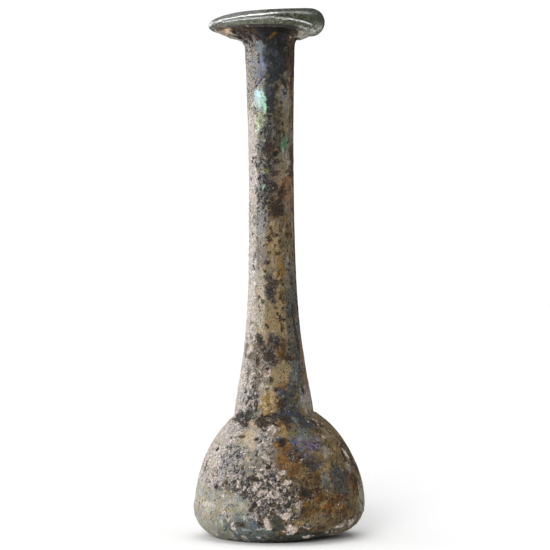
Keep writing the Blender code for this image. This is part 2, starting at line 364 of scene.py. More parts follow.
# name: colour between the plates, share of dark gaps, share of pale plates, their pinkness, crust, gloss,
# film, mottling, thickness in mm. All but the last run from 0 to about 1.
FINISHES = {
    "cream_crust": ((0.59, 0.55, 0.51), 0.16, 0.6, 0.4, 1, 0, 0, 0.3, 0.16),
    "pink_crust": ((0.17, 0.152, 0.136), 0.34, 0.42, 0.9, 1, 0, 0, 0.4, 0.14),
    "pink_plate": ((0.42, 0.34, 0.28), 0.08, 0.8, 1, 0.9, 0, 0, 0.3, 0.24),
    "smooth_cream": ((0.66, 0.605, 0.55), 0.03, 0.5, 0.5, 0.6, 0.1, 0, 0.15, 0.1),
    "grey_cream": ((0.35, 0.332, 0.31), 0.22, 0.38, 0.5, 1, 0, 0, 0.4, 0.1),
    "granite": ((0.29, 0.28, 0.27), 0.28, 0.26, 0.3, 0.9, 0, 0, 0.35, 0.06),
    "grey_crust": ((0.13, 0.124, 0.116), 0.38, 0.26, 0.5, 1, 0, 0, 0.5, 0.06),
    "grey_grain": ((0.19, 0.184, 0.172), 0.36, 0.15, 0.3, 1, 0, 0, 0.5, 0.04),
    "black_speckle": ((0.072, 0.071, 0.067), 0.46, 0.14, 0.3, 1, 0.1, 0, 0.35, 0),
    "dark_cluster": ((0.074, 0.056, 0.047), 0.42, 0.05, 0.7, 1, 0, 0, 0.4, 0.16),
    "lilac_grey": ((0.28, 0.263, 0.246), 0.08, 0.04, 0.2, 0.5, 0.2, 0.1, 0.3, 0.04),
    "pale_stone": ((0.27, 0.245, 0.205), 0.07, 0.04, 0, 0.3, 0.4, 0.1, 0.3, 0.04),
    "taupe": ((0.225, 0.185, 0.145), 0.1, 0.05, 0.3, 0.4, 0.2, 0, 0.35, 0.02),
    "mouse_grey": ((0.19, 0.18, 0.168), 0.12, 0.03, 0.2, 0.3, 0.3, 0.1, 0.25, 0),
    "sand": ((0.45, 0.39, 0.3), 0.04, 0.1, 0.5, 0.5, 0.1, 0, 0.2, 0.06),
    "beige": ((0.25, 0.185, 0.098), 0.06, 0.02, 0.3, 0.4, 0.2, 0, 0.22, 0.04),
    "grey_olive": ((0.175, 0.145, 0.098), 0.12, 0.03, 0.2, 0.3, 0.3, 0.1, 0.4, 0),
    "olive": ((0.165, 0.122, 0.062), 0.14, 0.02, 0.3, 0.4, 0.3, 0, 0.8, 0.02),
    "dark_olive": ((0.06, 0.052, 0.033), 0.22, 0.04, 0.3, 0.5, 0.3, 0, 0.7, 0),
    "umber": ((0.076, 0.045, 0.019), 0.24, 0.02, 0.5, 0.6, 0.2, 0, 0.9, 0.04),
    "ochre": ((0.3, 0.205, 0.085), 0.08, 0.03, 0.3, 0.5, 0.1, 0, 0.35, 0.06),
    "rust": ((0.138, 0.067, 0.019), 0.15, 0.01, 0.5, 0.6, 0.2, 0, 1, 0.04),
    "amber": ((0.205, 0.108, 0.026), 0.1, 0.01, 0.3, 0.4, 0.4, 0, 0.6, 0.04),
    "brown": ((0.044, 0.023, 0.01), 0.3, 0.01, 0.5, 0.6, 0.3, 0, 0.8, 0),
    "copper": ((0.195, 0.11, 0.06), 0.14, 0.03, 0.6, 0.5, 0.2, 0, 0.5, 0.04),
    "dark_copper": ((0.068, 0.042, 0.024), 0.22, 0.02, 0.6, 0.5, 0.2, 0, 0.5, 0.04),
    "mauve_dirt": ((0.085, 0.058, 0.043), 0.36, 0.1, 0.8, 1, 0, 0, 0.6, 0.16),
    "soot": ((0.019, 0.02, 0.0205), 0.22, 0, 0, 0.2, 0.35, 0, 0.3, -0.06),
    "near_black": ((0.012, 0.011, 0.01), 0.3, 0, 0, 0.3, 0.5, 0, 0.4, -0.14),
    "steel": ((0.118, 0.108, 0.086), 0.22, 0.04, 0.1, 0.4, 0.5, 0.3, 0.6, -0.04),
    "slate": ((0.075, 0.07, 0.058), 0.22, 0.03, 0.1, 0.4, 0.5, 0.3, 0.7, -0.04),
    "ink": ((0.04, 0.044, 0.05), 0.2, 0.02, 0, 0.3, 0.5, 0.3, 0.6, -0.06),
    "teal": ((0.13, 0.15, 0.14), 0.12, 0.03, 0, 0.2, 0.5, 0.4, 0.4, -0.04),
    "green_wash": ((0.33, 0.36, 0.24), 0.12, 0.05, 0.2, 0.3, 0.3, 0.2, 0.6, 0),
    "turquoise": ((0.36, 0.49, 0.5), 0.08, 0.03, 0, 0.2, 0.6, 0.4, 0.3, 0),
    "mint": ((0.3, 0.52, 0.39), 0.08, 0.03, 0, 0.2, 0.6, 0.4, 0.3, 0),
    "emerald": ((0.06, 0.165, 0.095), 0.16, 0.03, 0, 0.3, 0.5, 0.4, 0.5, -0.02),
    "moss": ((0.17, 0.19, 0.05), 0.18, 0.03, 0, 0.5, 0.3, 0.1, 0.5, 0),
    "lavender": ((0.148, 0.16, 0.212), 0.12, 0.03, 0, 0.2, 0.5, 0.4, 0.4, 0),
    "violet": ((0.16, 0.112, 0.165), 0.1, 0.03, 0, 0.2, 0.5, 0.4, 0.9, -0.02),
    "blue": ((0.068, 0.083, 0.15), 0.14, 0.03, 0, 0.2, 0.5, 0.4, 0.6, -0.02),
    "sheen": ((0.16, 0.188, 0.19), 0.1, 0.04, 0, 0.2, 0.5, 0.4, 0.4, -0.02),
    "cloudy_glass": ((0.37, 0.348, 0.275), 0.05, 0, 0.1, 0.25, 0.5, 0, 0.55, -0.02),
    "milky_glass": ((0.35, 0.34, 0.275), 0.03, 0, 0, 0.15, 0.7, 0, 0.4, -0.08),
    "sea_glass": ((0.27, 0.262, 0.205), 0.05, 0, 0, 0.15, 0.8, 0.1, 0.55, -0.1),
    "frosted_glass": ((0.36, 0.35, 0.285), 0.03, 0.05, 0, 0.2, 0.5, 0, 0.35, 0.02),
    "smoky_glass": ((0.232, 0.211, 0.172), 0.08, 0.03, 0, 0.3, 0.5, 0.1, 0.6, -0.02),
    "honey": ((0.6, 0.45, 0.29), 0.03, 0.04, 0.2, 0.3, 0.3, 0, 0.35, 0.1),
    "dark_glass": ((0.064, 0.066, 0.05), 0.16, 0.02, 0, 0.1, 0.8, 0, 0.4, -0.12),
}
CRUST_COLUMN = 4

# Broad areas on the front: lowest and highest height, left and right turn, finish, share that it covers
AREAS = [
    # the bulb, from its general colour to its own patches
    (-6, 48, -120, -4, "grey_cream", 1), (-6, 48, -4, 120, "olive", 1),
    (25, 42, -98, -44, "cream_crust", 0.95), (17, 26, -98, -50, "cream_crust", 0.75),
    (29, 37, -42, -20, "sand", 1), (24, 31, -50, -30, "granite", 0.9),
    (24, 28, -52, -28, "grey_crust", 0.15), (20.5, 29.5, -29, -12, "smoky_glass", 1),
    (18, 22, -30, -6, "grey_crust", 0.9), (13, 19, -33, -14, "grey_crust", 0.6),
    (8, 17.5, -96, -34, "cloudy_glass", 0.95), (8.5, 16, -34, -19, "sea_glass", 0.7),
    (-4, 9, -110, -50, "milky_glass", 1), (-4, 9.5, -54, -34, "sea_glass", 1),
    (-4, 8.5, -38, -4, "teal", 0.85), (24, 36, -13, 1, "taupe", 0.45), (24, 32, -13, 1, "umber", 0.2),
    (8, 24.5, -18, 8, "pink_crust", 1), (7, 18, 2, 15, "pink_crust", 0.75),
    (33, 39.5, -5, 13, "ochre", 0.85), (3, 37, 9, 84, "umber", 0.28), (28, 38, 9, 40, "steel", 0.95),
    (21, 29.5, -1, 15, "rust", 0.85), (20, 28, 14, 28, "umber", 0.8), (24, 29.5, 8, 24, "brown", 0.35),
    (13, 21, 7, 30, "brown", 0.42), (28.5, 35, 17, 38, "violet", 0.4), (27, 34, 10, 30, "blue", 0.16),
    (25, 33, 14, 40, "slate", 0.16), (18, 25, 30, 44, "grey_olive", 0.6), (13, 24.5, 39, 57, "slate", 1),
    (26, 36, 50, 80, "beige", 0.3), (12, 24, 44, 62, "brown", 0.12), (12, 21, 57, 70, "rust", 0.8),
    (7, 15.5, 50, 68, "olive", 0.9), (7, 15.5, 14, 52, "rust", 0.8), (8.5, 12.5, 18, 32, "ochre", 0.12),
    (7, 15, 16, 56, "brown", 0.22), (7, 13, 16, 50, "umber", 0.3), (3, 8.5, 14, 48, "olive", 0.65),
    (3, 8.5, 14, 48, "umber", 0.3), (21, 30, 62, 84, "mauve_dirt", 0.5),
    (6, 18, 69, 112, "sea_glass", 0.85), (-3, 4.5, 40, 66, "sea_glass", 0.45),
    (1.5, 7.5, 50, 80, "pink_crust", 0.3), (4, 9.5, -8, 4, "dark_glass", 0.95),
    (-3, 1, -40, -8, "dark_glass", 0.45), (-3, 3.6, -12, 46, "dark_glass", 0.97),
    # the neck, from the shoulder upwards
    (39, 58, -110, -44, "cream_crust", 1), (56, 170, -120, -36, "smooth_cream", 1),
    (88, 110, -120, -44, "cream_crust", 0.5), (64, 92, -46, -16, "sand", 1),
    (87, 97, -46, -13, "taupe", 0.85), (95, 110, -38, -13, "lilac_grey", 1),
    (97, 107, -56, -34, "lilac_grey", 0.45), (106, 134, -48, -34, "grey_grain", 0.42),
    (107, 132, -37, -14, "grey_grain", 0.95), (105, 140, -20, 9, "black_speckle", 0.97),
    (103, 149, 9, 110, "grey_olive", 1), (116, 126, 34, 56, "pale_stone", 0.25),
    (104, 148, 54, 116, "umber", 0.8), (136, 150, 14, 60, "grey_olive", 1),
    (138, 147, 20, 50, "mouse_grey", 0.5), (124, 141, 4, 29, "dark_olive", 1),
    (107, 116.5, 26, 100, "copper", 0.8), (102.5, 109, -3, 33, "brown", 0.9),
    (108, 116, -4, 34, "brown", 0.55), (87, 103, -14, 24, "beige", 1), (98, 104, -12, 12, "umber", 0.25),
    (87, 104, 20, 90, "olive", 0.9), (62, 90, -16, 28, "beige", 1), (62, 91, 20, 34, "olive", 0.55),
    (76, 90, 10, 34, "umber", 0.35), (96, 104, 22, 46, "umber", 0.35), (62, 91, 33, 80, "steel", 0.95),
    (60, 84, 34, 66, "slate", 0.4), (60, 104, 76, 112, "brown", 0.6), (55, 66, 6, 28, "umber", 0.72),
    (48, 57, -4, 27, "beige", 0.9), (55.5, 62, -38, 3, "grey_crust", 0.9),
    (46, 57, -52, -14, "grey_cream", 0.9), (47, 57, -36, -6, "taupe", 0.9),
    (49, 60, -40, -8, "dark_cluster", 0.22), (48, 66, 29, 62, "slate", 0.95),
    (50.5, 56.5, 29, 48, "teal", 0.55), (46, 64, 62, 104, "copper", 0.75),
    (40, 48.5, -44, -22, "grey_crust", 0.85), (39, 49, -22, 3, "sand", 1),
    (39, 48.5, -21, 3, "ochre", 0.75), (38, 50, 3, 43, "ink", 0.85), (41, 48, 15, 42, "slate", 0.55),
    (40, 48, 45, 98, "pale_stone", 0.9), (40, 48, 45, 98, "olive", 0.12),
    (38.5, 41.5, -86, -40, "black_speckle", 0.6), (36, 41, -48, -26, "black_speckle", 0.55),
    (36.5, 40, -24, 16, "umber", 0.45), (37, 40, -24, 5, "mauve_dirt", 0.8), (36, 40, 20, 46, "ink", 0.55),
    (130, 148, -42, -13, "green_wash", 0.6), (138, 150, -120, -44, "grey_cream", 0.85),
    (146.5, 175, -44, 60, "slate", 1), (146, 164, -38, -17, "lilac_grey", 0.65),
    (148, 175, -115, -33, "grey_cream", 0.95), (136, 149, 4, 24, "dark_olive", 0.85),
    (137, 149, -13, 10, "soot", 1), (147, 175, -20, 47, "soot", 1), (148, 163, -24, -4, "ink", 0.7),
    (150, 162, -8, 30, "ink", 0.35), (146, 175, 46, 120, "dark_copper", 1),
    (160, 162.5, -70, -36, "grey_crust", 0.5), (160.8, 175, -78, -33, "dark_cluster", 1),
    (161.4, 175, -38, -13, "mauve_dirt", 1), (162.4, 175, 34, 50, "dark_copper", 0.9),
    (163.75, 175, -20, 34, "near_black", 0.8), (162.9, 175, -140, -80, "frosted_glass", 1),
    (161.9, 175, 49, 135, "frosted_glass", 1),
]

# Spots: height, turn, half height and half width in mm, finish, strength, lean to the right in mm per mm up
SPOTS = [
    (84, -11, 1.4, 1.5, "dark_cluster", 1), (81.6, -2, 2, 1.9, "dark_cluster", 1, 0.4),
    (78.9, -6, 1.7, 1.8, "dark_cluster", 1), (76.8, 0, 1, 1, "dark_cluster", 1),
    (65.2, -32, 0.9, 1, "dark_cluster", 1), (63.5, -26, 2.2, 1.5, "dark_cluster", 1, -0.4),
    (61.3, -20, 1, 1.2, "dark_cluster", 1), (65.5, -3, 0.8, 0.8, "dark_cluster", 1),
    (63.5, 2, 2.4, 2.2, "dark_cluster", 1), (163.15, -60, 0.8, 2.1, "honey", 1, 3.2),
    (163.6, -75, 0.4, 2, "mauve_dirt", 0.8, 2), (162.4, -46, 1.1, 1.9, "dark_cluster", 0.8),
    (162.6, -54, 0.35, 0.8, "near_black", 0.95, 2), (161.5, -70, 0.35, 1.4, "near_black", 0.95, 1),
    (163.4, -36, 0.5, 1.8, "umber", 0.6), (164, -23, 0.14, 0.6, "pink_plate", 0.6),
    (162.6, -24, 0.6, 1.2, "dark_copper", 0.8), (163.9, 0, 0.2, 1, "rust", 0.8),
    (163.6, 46, 0.28, 0.8, "brown", 0.8), (161.7, 8, 0.75, 0.8, "rust", 0.9, 1.6),
    (161.7, 8, 0.6, 0.5, "amber", 0.5, 1.6), (161.3, -12, 0.8, 0.7, "ink", 0.9),
    (158.8, -25, 2.3, 1.4, "sheen", 0.9), (158.2, -24, 0.7, 0.5, "lavender", 0.5),
    (151.3, -24, 3.6, 1.6, "lavender", 0.9, 0.1), (147.2, -28, 1.8, 0.8, "violet", 0.7, 0.5),
    (144.4, -5, 2.2, 1.3, "ink", 0.9), (141.6, -31, 3.2, 1.9, "turquoise", 1, -0.1),
    (140.6, -18, 3.4, 0.8, "mint", 0.9, -0.1), (138, -22, 1.2, 0.6, "sheen", 0.6),
    (134.6, -29, 1.7, 0.8, "moss", 0.6), (143.3, 36, 2, 1.2, "lavender", 0.45),
    (137.7, -43, 0.6, 0.5, "rust", 0.5), (127.5, 38, 2.6, 1.2, "emerald", 0.85, 0.1),
    (125, 33, 0.8, 0.5, "mint", 0.35), (125.3, 12, 0.4, 1, "copper", 0.9),
    (123.4, 21, 1.1, 0.5, "moss", 0.7), (124, 13, 0.8, 1, "near_black", 1),
    (118.5, -12, 1.5, 0.7, "moss", 0.7), (113.4, -21, 0.8, 0.5, "mint", 0.9, 0.5),
    (116, 4, 0.8, 1.6, "copper", 0.6), (112.6, 5, 1.3, 1.1, "brown", 0.5),
    (110.5, 10, 1.4, 0.8, "olive", 0.6), (104.2, 2, 1.6, 1.3, "brown", 0.75),
    (104.5, -26, 3.2, 0.6, "sheen", 0.35, 0.1), (87.5, 22, 3.6, 1, "umber", 0.8, -0.1),
    (88, 20, 3, 0.8, "amber", 0.9, -0.1), (84.2, 22, 1, 0.5, "rust", 0.7), (80, 20, 1.3, 0.6, "amber", 0.6),
    (72.5, 37, 1.2, 0.8, "ink", 0.6), (60.3, 13, 2, 1, "rust", 0.9, 0.1), (49.3, 9, 0.9, 0.7, "amber", 0.8),
    (49.5, 19, 1.4, 0.7, "rust", 0.7), (60.5, -68, 2.8, 1, "olive", 0.9),
    (53.4, -14, 1.3, 2.1, "pink_plate", 0.5, 0.3), (44.5, -33, 1.2, 1.1, "pink_plate", 0.45, 0.2),
    (46.5, -7, 1.6, 1.2, "amber", 0.25), (44.5, 2, 2.2, 0.4, "amber", 0.9), (47, 8, 1, 1, "blue", 0.35),
    (33.6, -30, 2.6, 2, "honey", 0.6), (30.6, -23, 1.6, 1.2, "honey", 0.45),
    (26.8, -27, 0.9, 1.8, "honey", 0.35, 0.2), (24.6, -20, 0.3, 2.2, "grey_cream", 0.6, 0.5),
    (37.6, -27, 1.1, 1.7, "honey", 0.9, -0.6), (36.3, -4, 1.2, 1.4, "pink_plate", 0.6),
    (38.4, 25, 0.7, 0.8, "sheen", 0.9), (37.2, 36, 1.5, 2.4, "ink", 0.8, -0.6),
    (37.4, 51, 1, 2.2, "pink_crust", 0.8, -1), (33.5, 47, 0.8, 1.2, "pink_plate", 0.5),
    (31.6, 4, 1.9, 2.3, "rust", 0.9), (32.1, 3, 1.2, 1.5, "near_black", 0.95),
    (33.2, -1, 1, 1.1, "blue", 0.5), (31.3, -4, 1.1, 0.8, "amber", 0.8), (30.2, 4, 0.9, 1.5, "rust", 0.7),
    (27.2, 2, 1.8, 1.7, "amber", 0.45, 0.2), (32.2, 10, 0.3, 0.9, "sand", 0.8, -1),
    (32, 14, 0.7, 1.5, "blue", 0.95, 0.4), (32.6, 20, 1.2, 2, "teal", 0.7),
    (32.8, 22, 0.9, 2.2, "violet", 0.9, -0.8), (31, 30, 1.1, 2.2, "violet", 0.8, -0.8),
    (34, 24, 1.5, 2.2, "teal", 0.6), (34.5, 14, 1, 1.4, "moss", 0.35),
    (28.8, 41, 1.8, 1.5, "pale_stone", 0.8, 0.2), (28.2, 32, 0.9, 0.9, "ochre", 0.3),
    (24.8, 30, 0.7, 0.9, "violet", 0.9), (24.4, 25, 1, 1.8, "ink", 0.7),
    (28.6, 10, 1.7, 2, "mauve_dirt", 0.75, 0.3), (27.3, 9, 0.9, 0.8, "pink_crust", 0.85, 0.3),
    (26.6, 18, 0.8, 0.9, "pink_crust", 0.55, 0.3), (26, 21, 1.4, 1.7, "slate", 0.8, 0.3),
    (22.6, 37, 2.4, 0.45, "ochre", 0.6, 0.1), (20.6, 33, 2, 1.1, "teal", 0.75),
    (17.8, 34, 1.8, 1.2, "slate", 0.6), (24.7, -8, 1.4, 1.6, "pink_plate", 0.6),
    (23, 2, 0.8, 1.3, "pink_plate", 1, 0.3), (19.8, 4, 0.8, 1.5, "pink_plate", 1, 0.5),
    (17, -3, 0.9, 1.5, "pink_plate", 0.6), (16.8, -13, 1, 1.3, "pink_plate", 0.7, -0.5),
    (18.2, -28, 1, 1, "pink_plate", 0.7, -0.5), (9.6, 3, 1.1, 1.3, "pink_plate", 1),
    (7, -8, 2.2, 1.1, "pink_plate", 1, -0.5), (4.6, 8, 1.7, 1.9, "pink_plate", 1, -0.3),
    (5.6, 18, 0.8, 2.4, "pink_crust", 0.9), (3.9, 47, 0.5, 2.2, "pink_plate", 0.9, 0.4),
    (5, 62, 1.6, 2.6, "pink_crust", 0.8, 0.5), (4.6, 60, 0.7, 1.4, "pink_plate", 0.55, 0.5),
    (2.4, 40, 0.5, 1.6, "pink_crust", 0.9), (2.2, 31, 0.5, 1.4, "umber", 0.8),
    (1.6, 22, 0.5, 1.6, "pink_plate", 0.8), (23.5, 62, 1.8, 1.1, "sand", 0.6),
    (27.7, 66, 1.6, 0.8, "pink_plate", 0.7, -0.2), (18.6, 64, 3.8, 2.3, "brown", 0.95),
    (18, 63, 2.4, 1.1, "rust", 0.55), (17.8, 12, 0.7, 0.8, "pink_crust", 0.9, 0.3),
    (14.4, 18, 0.6, 1, "pink_crust", 0.8, 0.3), (16, 23, 0.6, 0.8, "pink_crust", 0.7, 0.3),
    (7.6, 26, 2.2, 2.8, "beige", 0.45), (10.8, 36, 1, 1.3, "rust", 0.9),
    (18.4, -43, 1.1, 2.8, "grey_crust", 0.55), (17.6, -36, 1.5, 2, "grey_crust", 0.7, -0.4),
    (22.6, -34, 2, 1.3, "grey_crust", 0.6, -0.2), (21.2, -53, 0.9, 1.8, "grey_crust", 0.5, 0.3),
    (13.6, -45, 1.5, 1.5, "beige", 0.35), (11.6, -57, 1.3, 1.9, "grey_olive", 0.3, 0.2),
    (15, -63, 1.5, 1.8, "sand", 0.45), (9.6, -46, 1.1, 1.6, "grey_olive", 0.3, 0.3),
    (17.5, -38, 1.2, 0.8, "ochre", 0.4, 0.2), (11, -37, 0.9, 0.8, "ochre", 0.7),
    (12.2, -56, 0.8, 3.4, "smooth_cream", 0.8, 0.6), (26, -60, 4, 1.6, "smooth_cream", 0.9, 0.1),
    (31.5, -57, 1.8, 1.3, "smooth_cream", 0.7, 0.2), (22, -60, 2.2, 1.3, "pink_plate", 0.4, 0.2),
    (4.7, -24, 0.35, 1.6, "turquoise", 0.55), (4.9, -8, 0.5, 1.3, "mint", 0.35),
    (7.5, -32, 1.4, 1.2, "lilac_grey", 0.5, 0.5), (2.2, -16, 0.3, 0.9, "smooth_cream", 0.8),
]

# Dark specks: height, turn, half height and half width in mm
DARK_SPOTS = [
    (148.5, 62, 1.6, 0.6), (155.5, 48, 4, 0.35), (131, 24, 0.7, 1.5), (134, 30, 0.5, 0.5),
    (136, 57, 2.5, 0.5), (121.5, 10, 0.5, 1.3), (118, 9, 1, 1.2), (113.7, 8, 1, 1.1), (111.8, 27, 1.8, 1.3),
    (126, -5, 3, 1.4), (106, 10, 2.2, 1.6), (105.5, 25, 1.3, 1), (102.8, -17, 1, 0.3),
    (104.2, -7, 0.3, 0.6), (101, 42, 1.1, 0.5), (100, -3, 0.6, 0.5), (98.8, 0, 0.6, 0.5),
    (96.2, -7, 1.7, 0.9), (97.6, 11, 0.5, 1.1), (95.8, 20, 0.5, 0.5), (94.3, 7, 0.5, 0.5),
    (92.2, -9, 0.5, 0.7), (92, 17, 0.6, 0.6), (98, 58, 0.9, 0.5), (94, 75, 1.4, 0.6), (89.1, -12, 0.6, 1),
    (82.5, 9, 0.6, 0.5), (77.5, 18, 0.4, 0.7), (77.8, -33, 0.6, 0.6), (76.5, -24, 0.6, 0.6),
    (74.6, 6, 0.5, 0.6), (72.7, 10, 0.4, 0.5), (71.2, 15, 1.2, 0.5), (70.7, 22, 0.4, 1.1),
    (68, 18, 1.2, 0.5), (73, 50, 3.5, 0.5), (68, 53, 4, 0.45), (63.5, 57, 3, 0.4), (57.4, -31, 1.5, 0.7),
    (58.8, -8, 1.6, 1.6), (57, 1, 1, 1.1), (58.3, 36, 0.7, 2.4), (61.4, 62, 3.4, 0.4), (51.5, -5, 0.7, 0.6),
    (48.8, -10, 0.4, 0.9), (48.2, 4, 0.7, 0.9), (47.5, 53, 1.5, 0.5), (43.5, -27, 1.3, 0.6),
    (41.9, -31, 0.6, 1.3), (48, -52, 0.7, 0.6), (45.5, -56, 0.7, 0.5), (43.3, 11, 1.5, 1.2),
    (41.2, -58, 1.2, 1.2), (38.2, -17, 1.2, 2.2), (38.6, 14, 0.9, 1.8), (38.4, -46, 0.8, 1),
    (37.6, -39, 0.8, 1.1), (39.3, -38, 0.6, 0.9), (33, -21, 0.5, 0.7), (33.6, -38, 0.5, 1.2),
    (29.3, -62, 0.6, 0.7), (28.5, -18, 0.9, 0.4), (27.5, -34, 0.5, 0.9), (24.2, -28, 0.8, 0.6),
    (22.3, -27, 0.7, 0.5), (24.7, -8, 0.7, 0.7), (20.8, -18, 0.8, 2.6), (32, 3.5, 0.9, 1.1),
    (17.3, -31, 0.8, 1.1), (15.8, -25, 1, 1.4), (17.8, -50, 0.8, 1), (19.8, -41, 0.6, 0.8),
    (19.6, -34, 0.5, 0.8), (23.3, -71, 2, 0.8), (19, -58, 0.4, 0.8), (12.9, -17, 0.8, 0.8),
    (11.5, -19, 0.9, 0.9), (13, -5, 0.8, 1.1), (10.7, -5, 0.8, 1), (12.8, 5, 0.5, 1.1),
    (16.4, 18, 1.3, 1.8), (17.5, 15, 0.5, 0.7), (14.8, 21, 0.5, 1), (11.3, 15, 1, 0.7),
    (27.5, 62, 1.9, 0.6), (26, 74, 2.4, 0.7), (37.6, 46, 0.7, 1), (36.6, 55, 0.6, 0.8),
    (6.5, -27, 0.9, 1.6), (7.5, -12, 1.5, 0.9), (25.8, 22, 0.6, 1.4), (3.2, 13, 0.4, 0.9),
]

# Pits through the crust: height, turn, half size in mm
PITS = [
    (160.3, -62, 0.6), (157.7, -72, 0.5), (153.5, -29, 0.4), (144.5, -66, 0.5), (131, -26, 0.5),
    (122.8, -55, 0.6), (121.6, -58, 0.4), (116, -64, 0.4), (106.7, -68, 0.5), (98.2, -58, 0.5),
    (86.2, -19, 0.4), (87, -37, 0.3), (88, -55, 0.4), (82.2, -70, 0.5), (69, -16, 0.45), (68.3, -11, 0.5),
    (73.6, -31, 0.3), (124, 12, 0.7), (32, 3.5, 0.9), (24.8, -9, 0.6), (29.3, -62, 0.5), (17.8, -50, 0.6),
    (12.9, -17, 0.6), (16.2, 17, 0.8), (27.6, 62, 0.7),
]

# Noises that the finishes share: size in mm, layers, seed
NOISES = {
    "slow": (9.0, 3, 11),
    "wander": (3.4, 3, 23),
    "ragged": (1.5, 3, 31),
    "coarse": (1.1, 2, 47),
    "fine": (0.62, 1, 59),
    "sand": (0.80, 1, 61),
    "powder": (0.42, 1, 67),
    "drift_up": (2.8, 2, 101),
    "drift_across": (2.8, 2, 103),
}
# Noises of places that are pushed about and, from this height up, drawn out: hue, marbling, three of blotches
NECK_FROM_Z = 55.0
DRAWN_OUT = 0.55
SWIRL_PUSH = 1.8
SWIRLED = {"hue": (2.4, 3, 19), "marble": (1.9, 3, 107)}
BLOTCHES = ((2.6, 3, 211), (1.9, 3, 224), (3.6, 3, 237))
BLOTCH_SPREAD = 0.325
BLOTCH_EDGE = 0.45
VEINS = (2.2, 1, 109)
VEIN_PUSH = 0.5
STREAKS = (0.9, 1, 151)
STREAK_LENGTH = 6.0
STREAKS_FROM_Z = (70.0, 95.0)
# How noise moves the edge of a spot, and of an area as (share of its least half, mm at most); an area's fade
SPOT_BEND = 0.45
AREA_DRIFT = (0.3, 2.6)
AREA_WANDER = (0.3, 2.0)
AREA_RAGGED = 1.2
AREA_COARSE = 0.5
AREA_SHARPEST = 0.4
AREA_FADE = 0.5
AREA_FADE_ON_CRUST = 2.2
# Share of the face that blotches cover, and the noise they begin at for it
SHARES = (0.0, 0.02, 0.16, 0.5, 0.84, 0.98, 1.0)
BARS = (-3.0, -2.05, -1.0, 0.0, 1.0, 2.05, 3.0)
# Where the front ends: turn at which it begins to fade and is gone, and how far noise moves it
FRONT_FADE = (84.0, 104.0)
FRONT_SWING = 7.0

# How the crust lies in plates and gaps, by the noises it is made of: low down, and high on the neck
LIE_NOISES = ("wander", "ragged", "coarse", "fine", "powder")
LIE_LOW_DOWN = (0.10, 0.18, 0.26, 0.24, 0.06)
LIE_HIGH_UP = (0.10, 0.18, 0.14, 0.18, 0.22)
LIE_CHANGE_Z = (90.0, 104.0)
MARK_PER_SHARE = 0.48
MARK_FROM = -0.24
FEW_PLATES = 0.22
FEW_PLATES_LESS = 0.14
GAP_LIE = 0.8
GAP_SAND = 0.22
GAP_EDGE = 0.05
PLATE_EDGE = 0.06
# What mottles the colour: brightness by marbling, hue as the swing of red, green and blue, and pale threads
MARBLE_RAGGED = 0.25
SHADE_WANDER = 0.12
SHADE_COARSE = 0.10
SHADE_STREAKS = 0.35
SHADE_EVEN_OUT = 0.06
HUE_SWING = (0.26, 0.02, -0.52)
THREAD_HALF = 0.035
THREAD_MORE = 0.5
THREAD_PALE = 0.03
DARKEST, PALEST = 0.004, 0.85
# Relief in mm: grains of the crust, plates, gaps, pits, and how far the whole skin lies in the frame's face
COARSE_HEIGHT = 0.07
FINE_HEIGHT = 0.08
PLATE_HEIGHT = 0.22
GAP_DEPTH = 0.16
PIT_DEPTH = 0.45
PIT_DARK = 0.5
SKIN_SINK = 0.14
# Specks: how much larger than their row, how strong, and how much they add to the dark gaps
SPECK_GROWTH = 1.1
SPECK_STRENGTH = 0.80
SPECK_GAPS = 0.20

CREAM_PLATE = (0.66, 0.60, 0.55, 1.0)
PINK_PLATE = (0.58, 0.475, 0.41, 1.0)


class Paint:
    """What the finish is at each point: its colour, and the rest of its row in FINISHES."""

    def __init__(self, count, finish):
        colour, *rest = FINISHES[finish]
        self.tint = np.tile(np.array(colour), (count, 1))
        self.rest = np.tile(np.array(rest, float), (count, 1))

    def lay(self, share, finish):
        """Blends a finish in by its share at each point."""
        colour, *rest = FINISHES[finish]
        self.tint = towards(self.tint, colour, share)
        self.rest = towards(self.rest, rest, share)


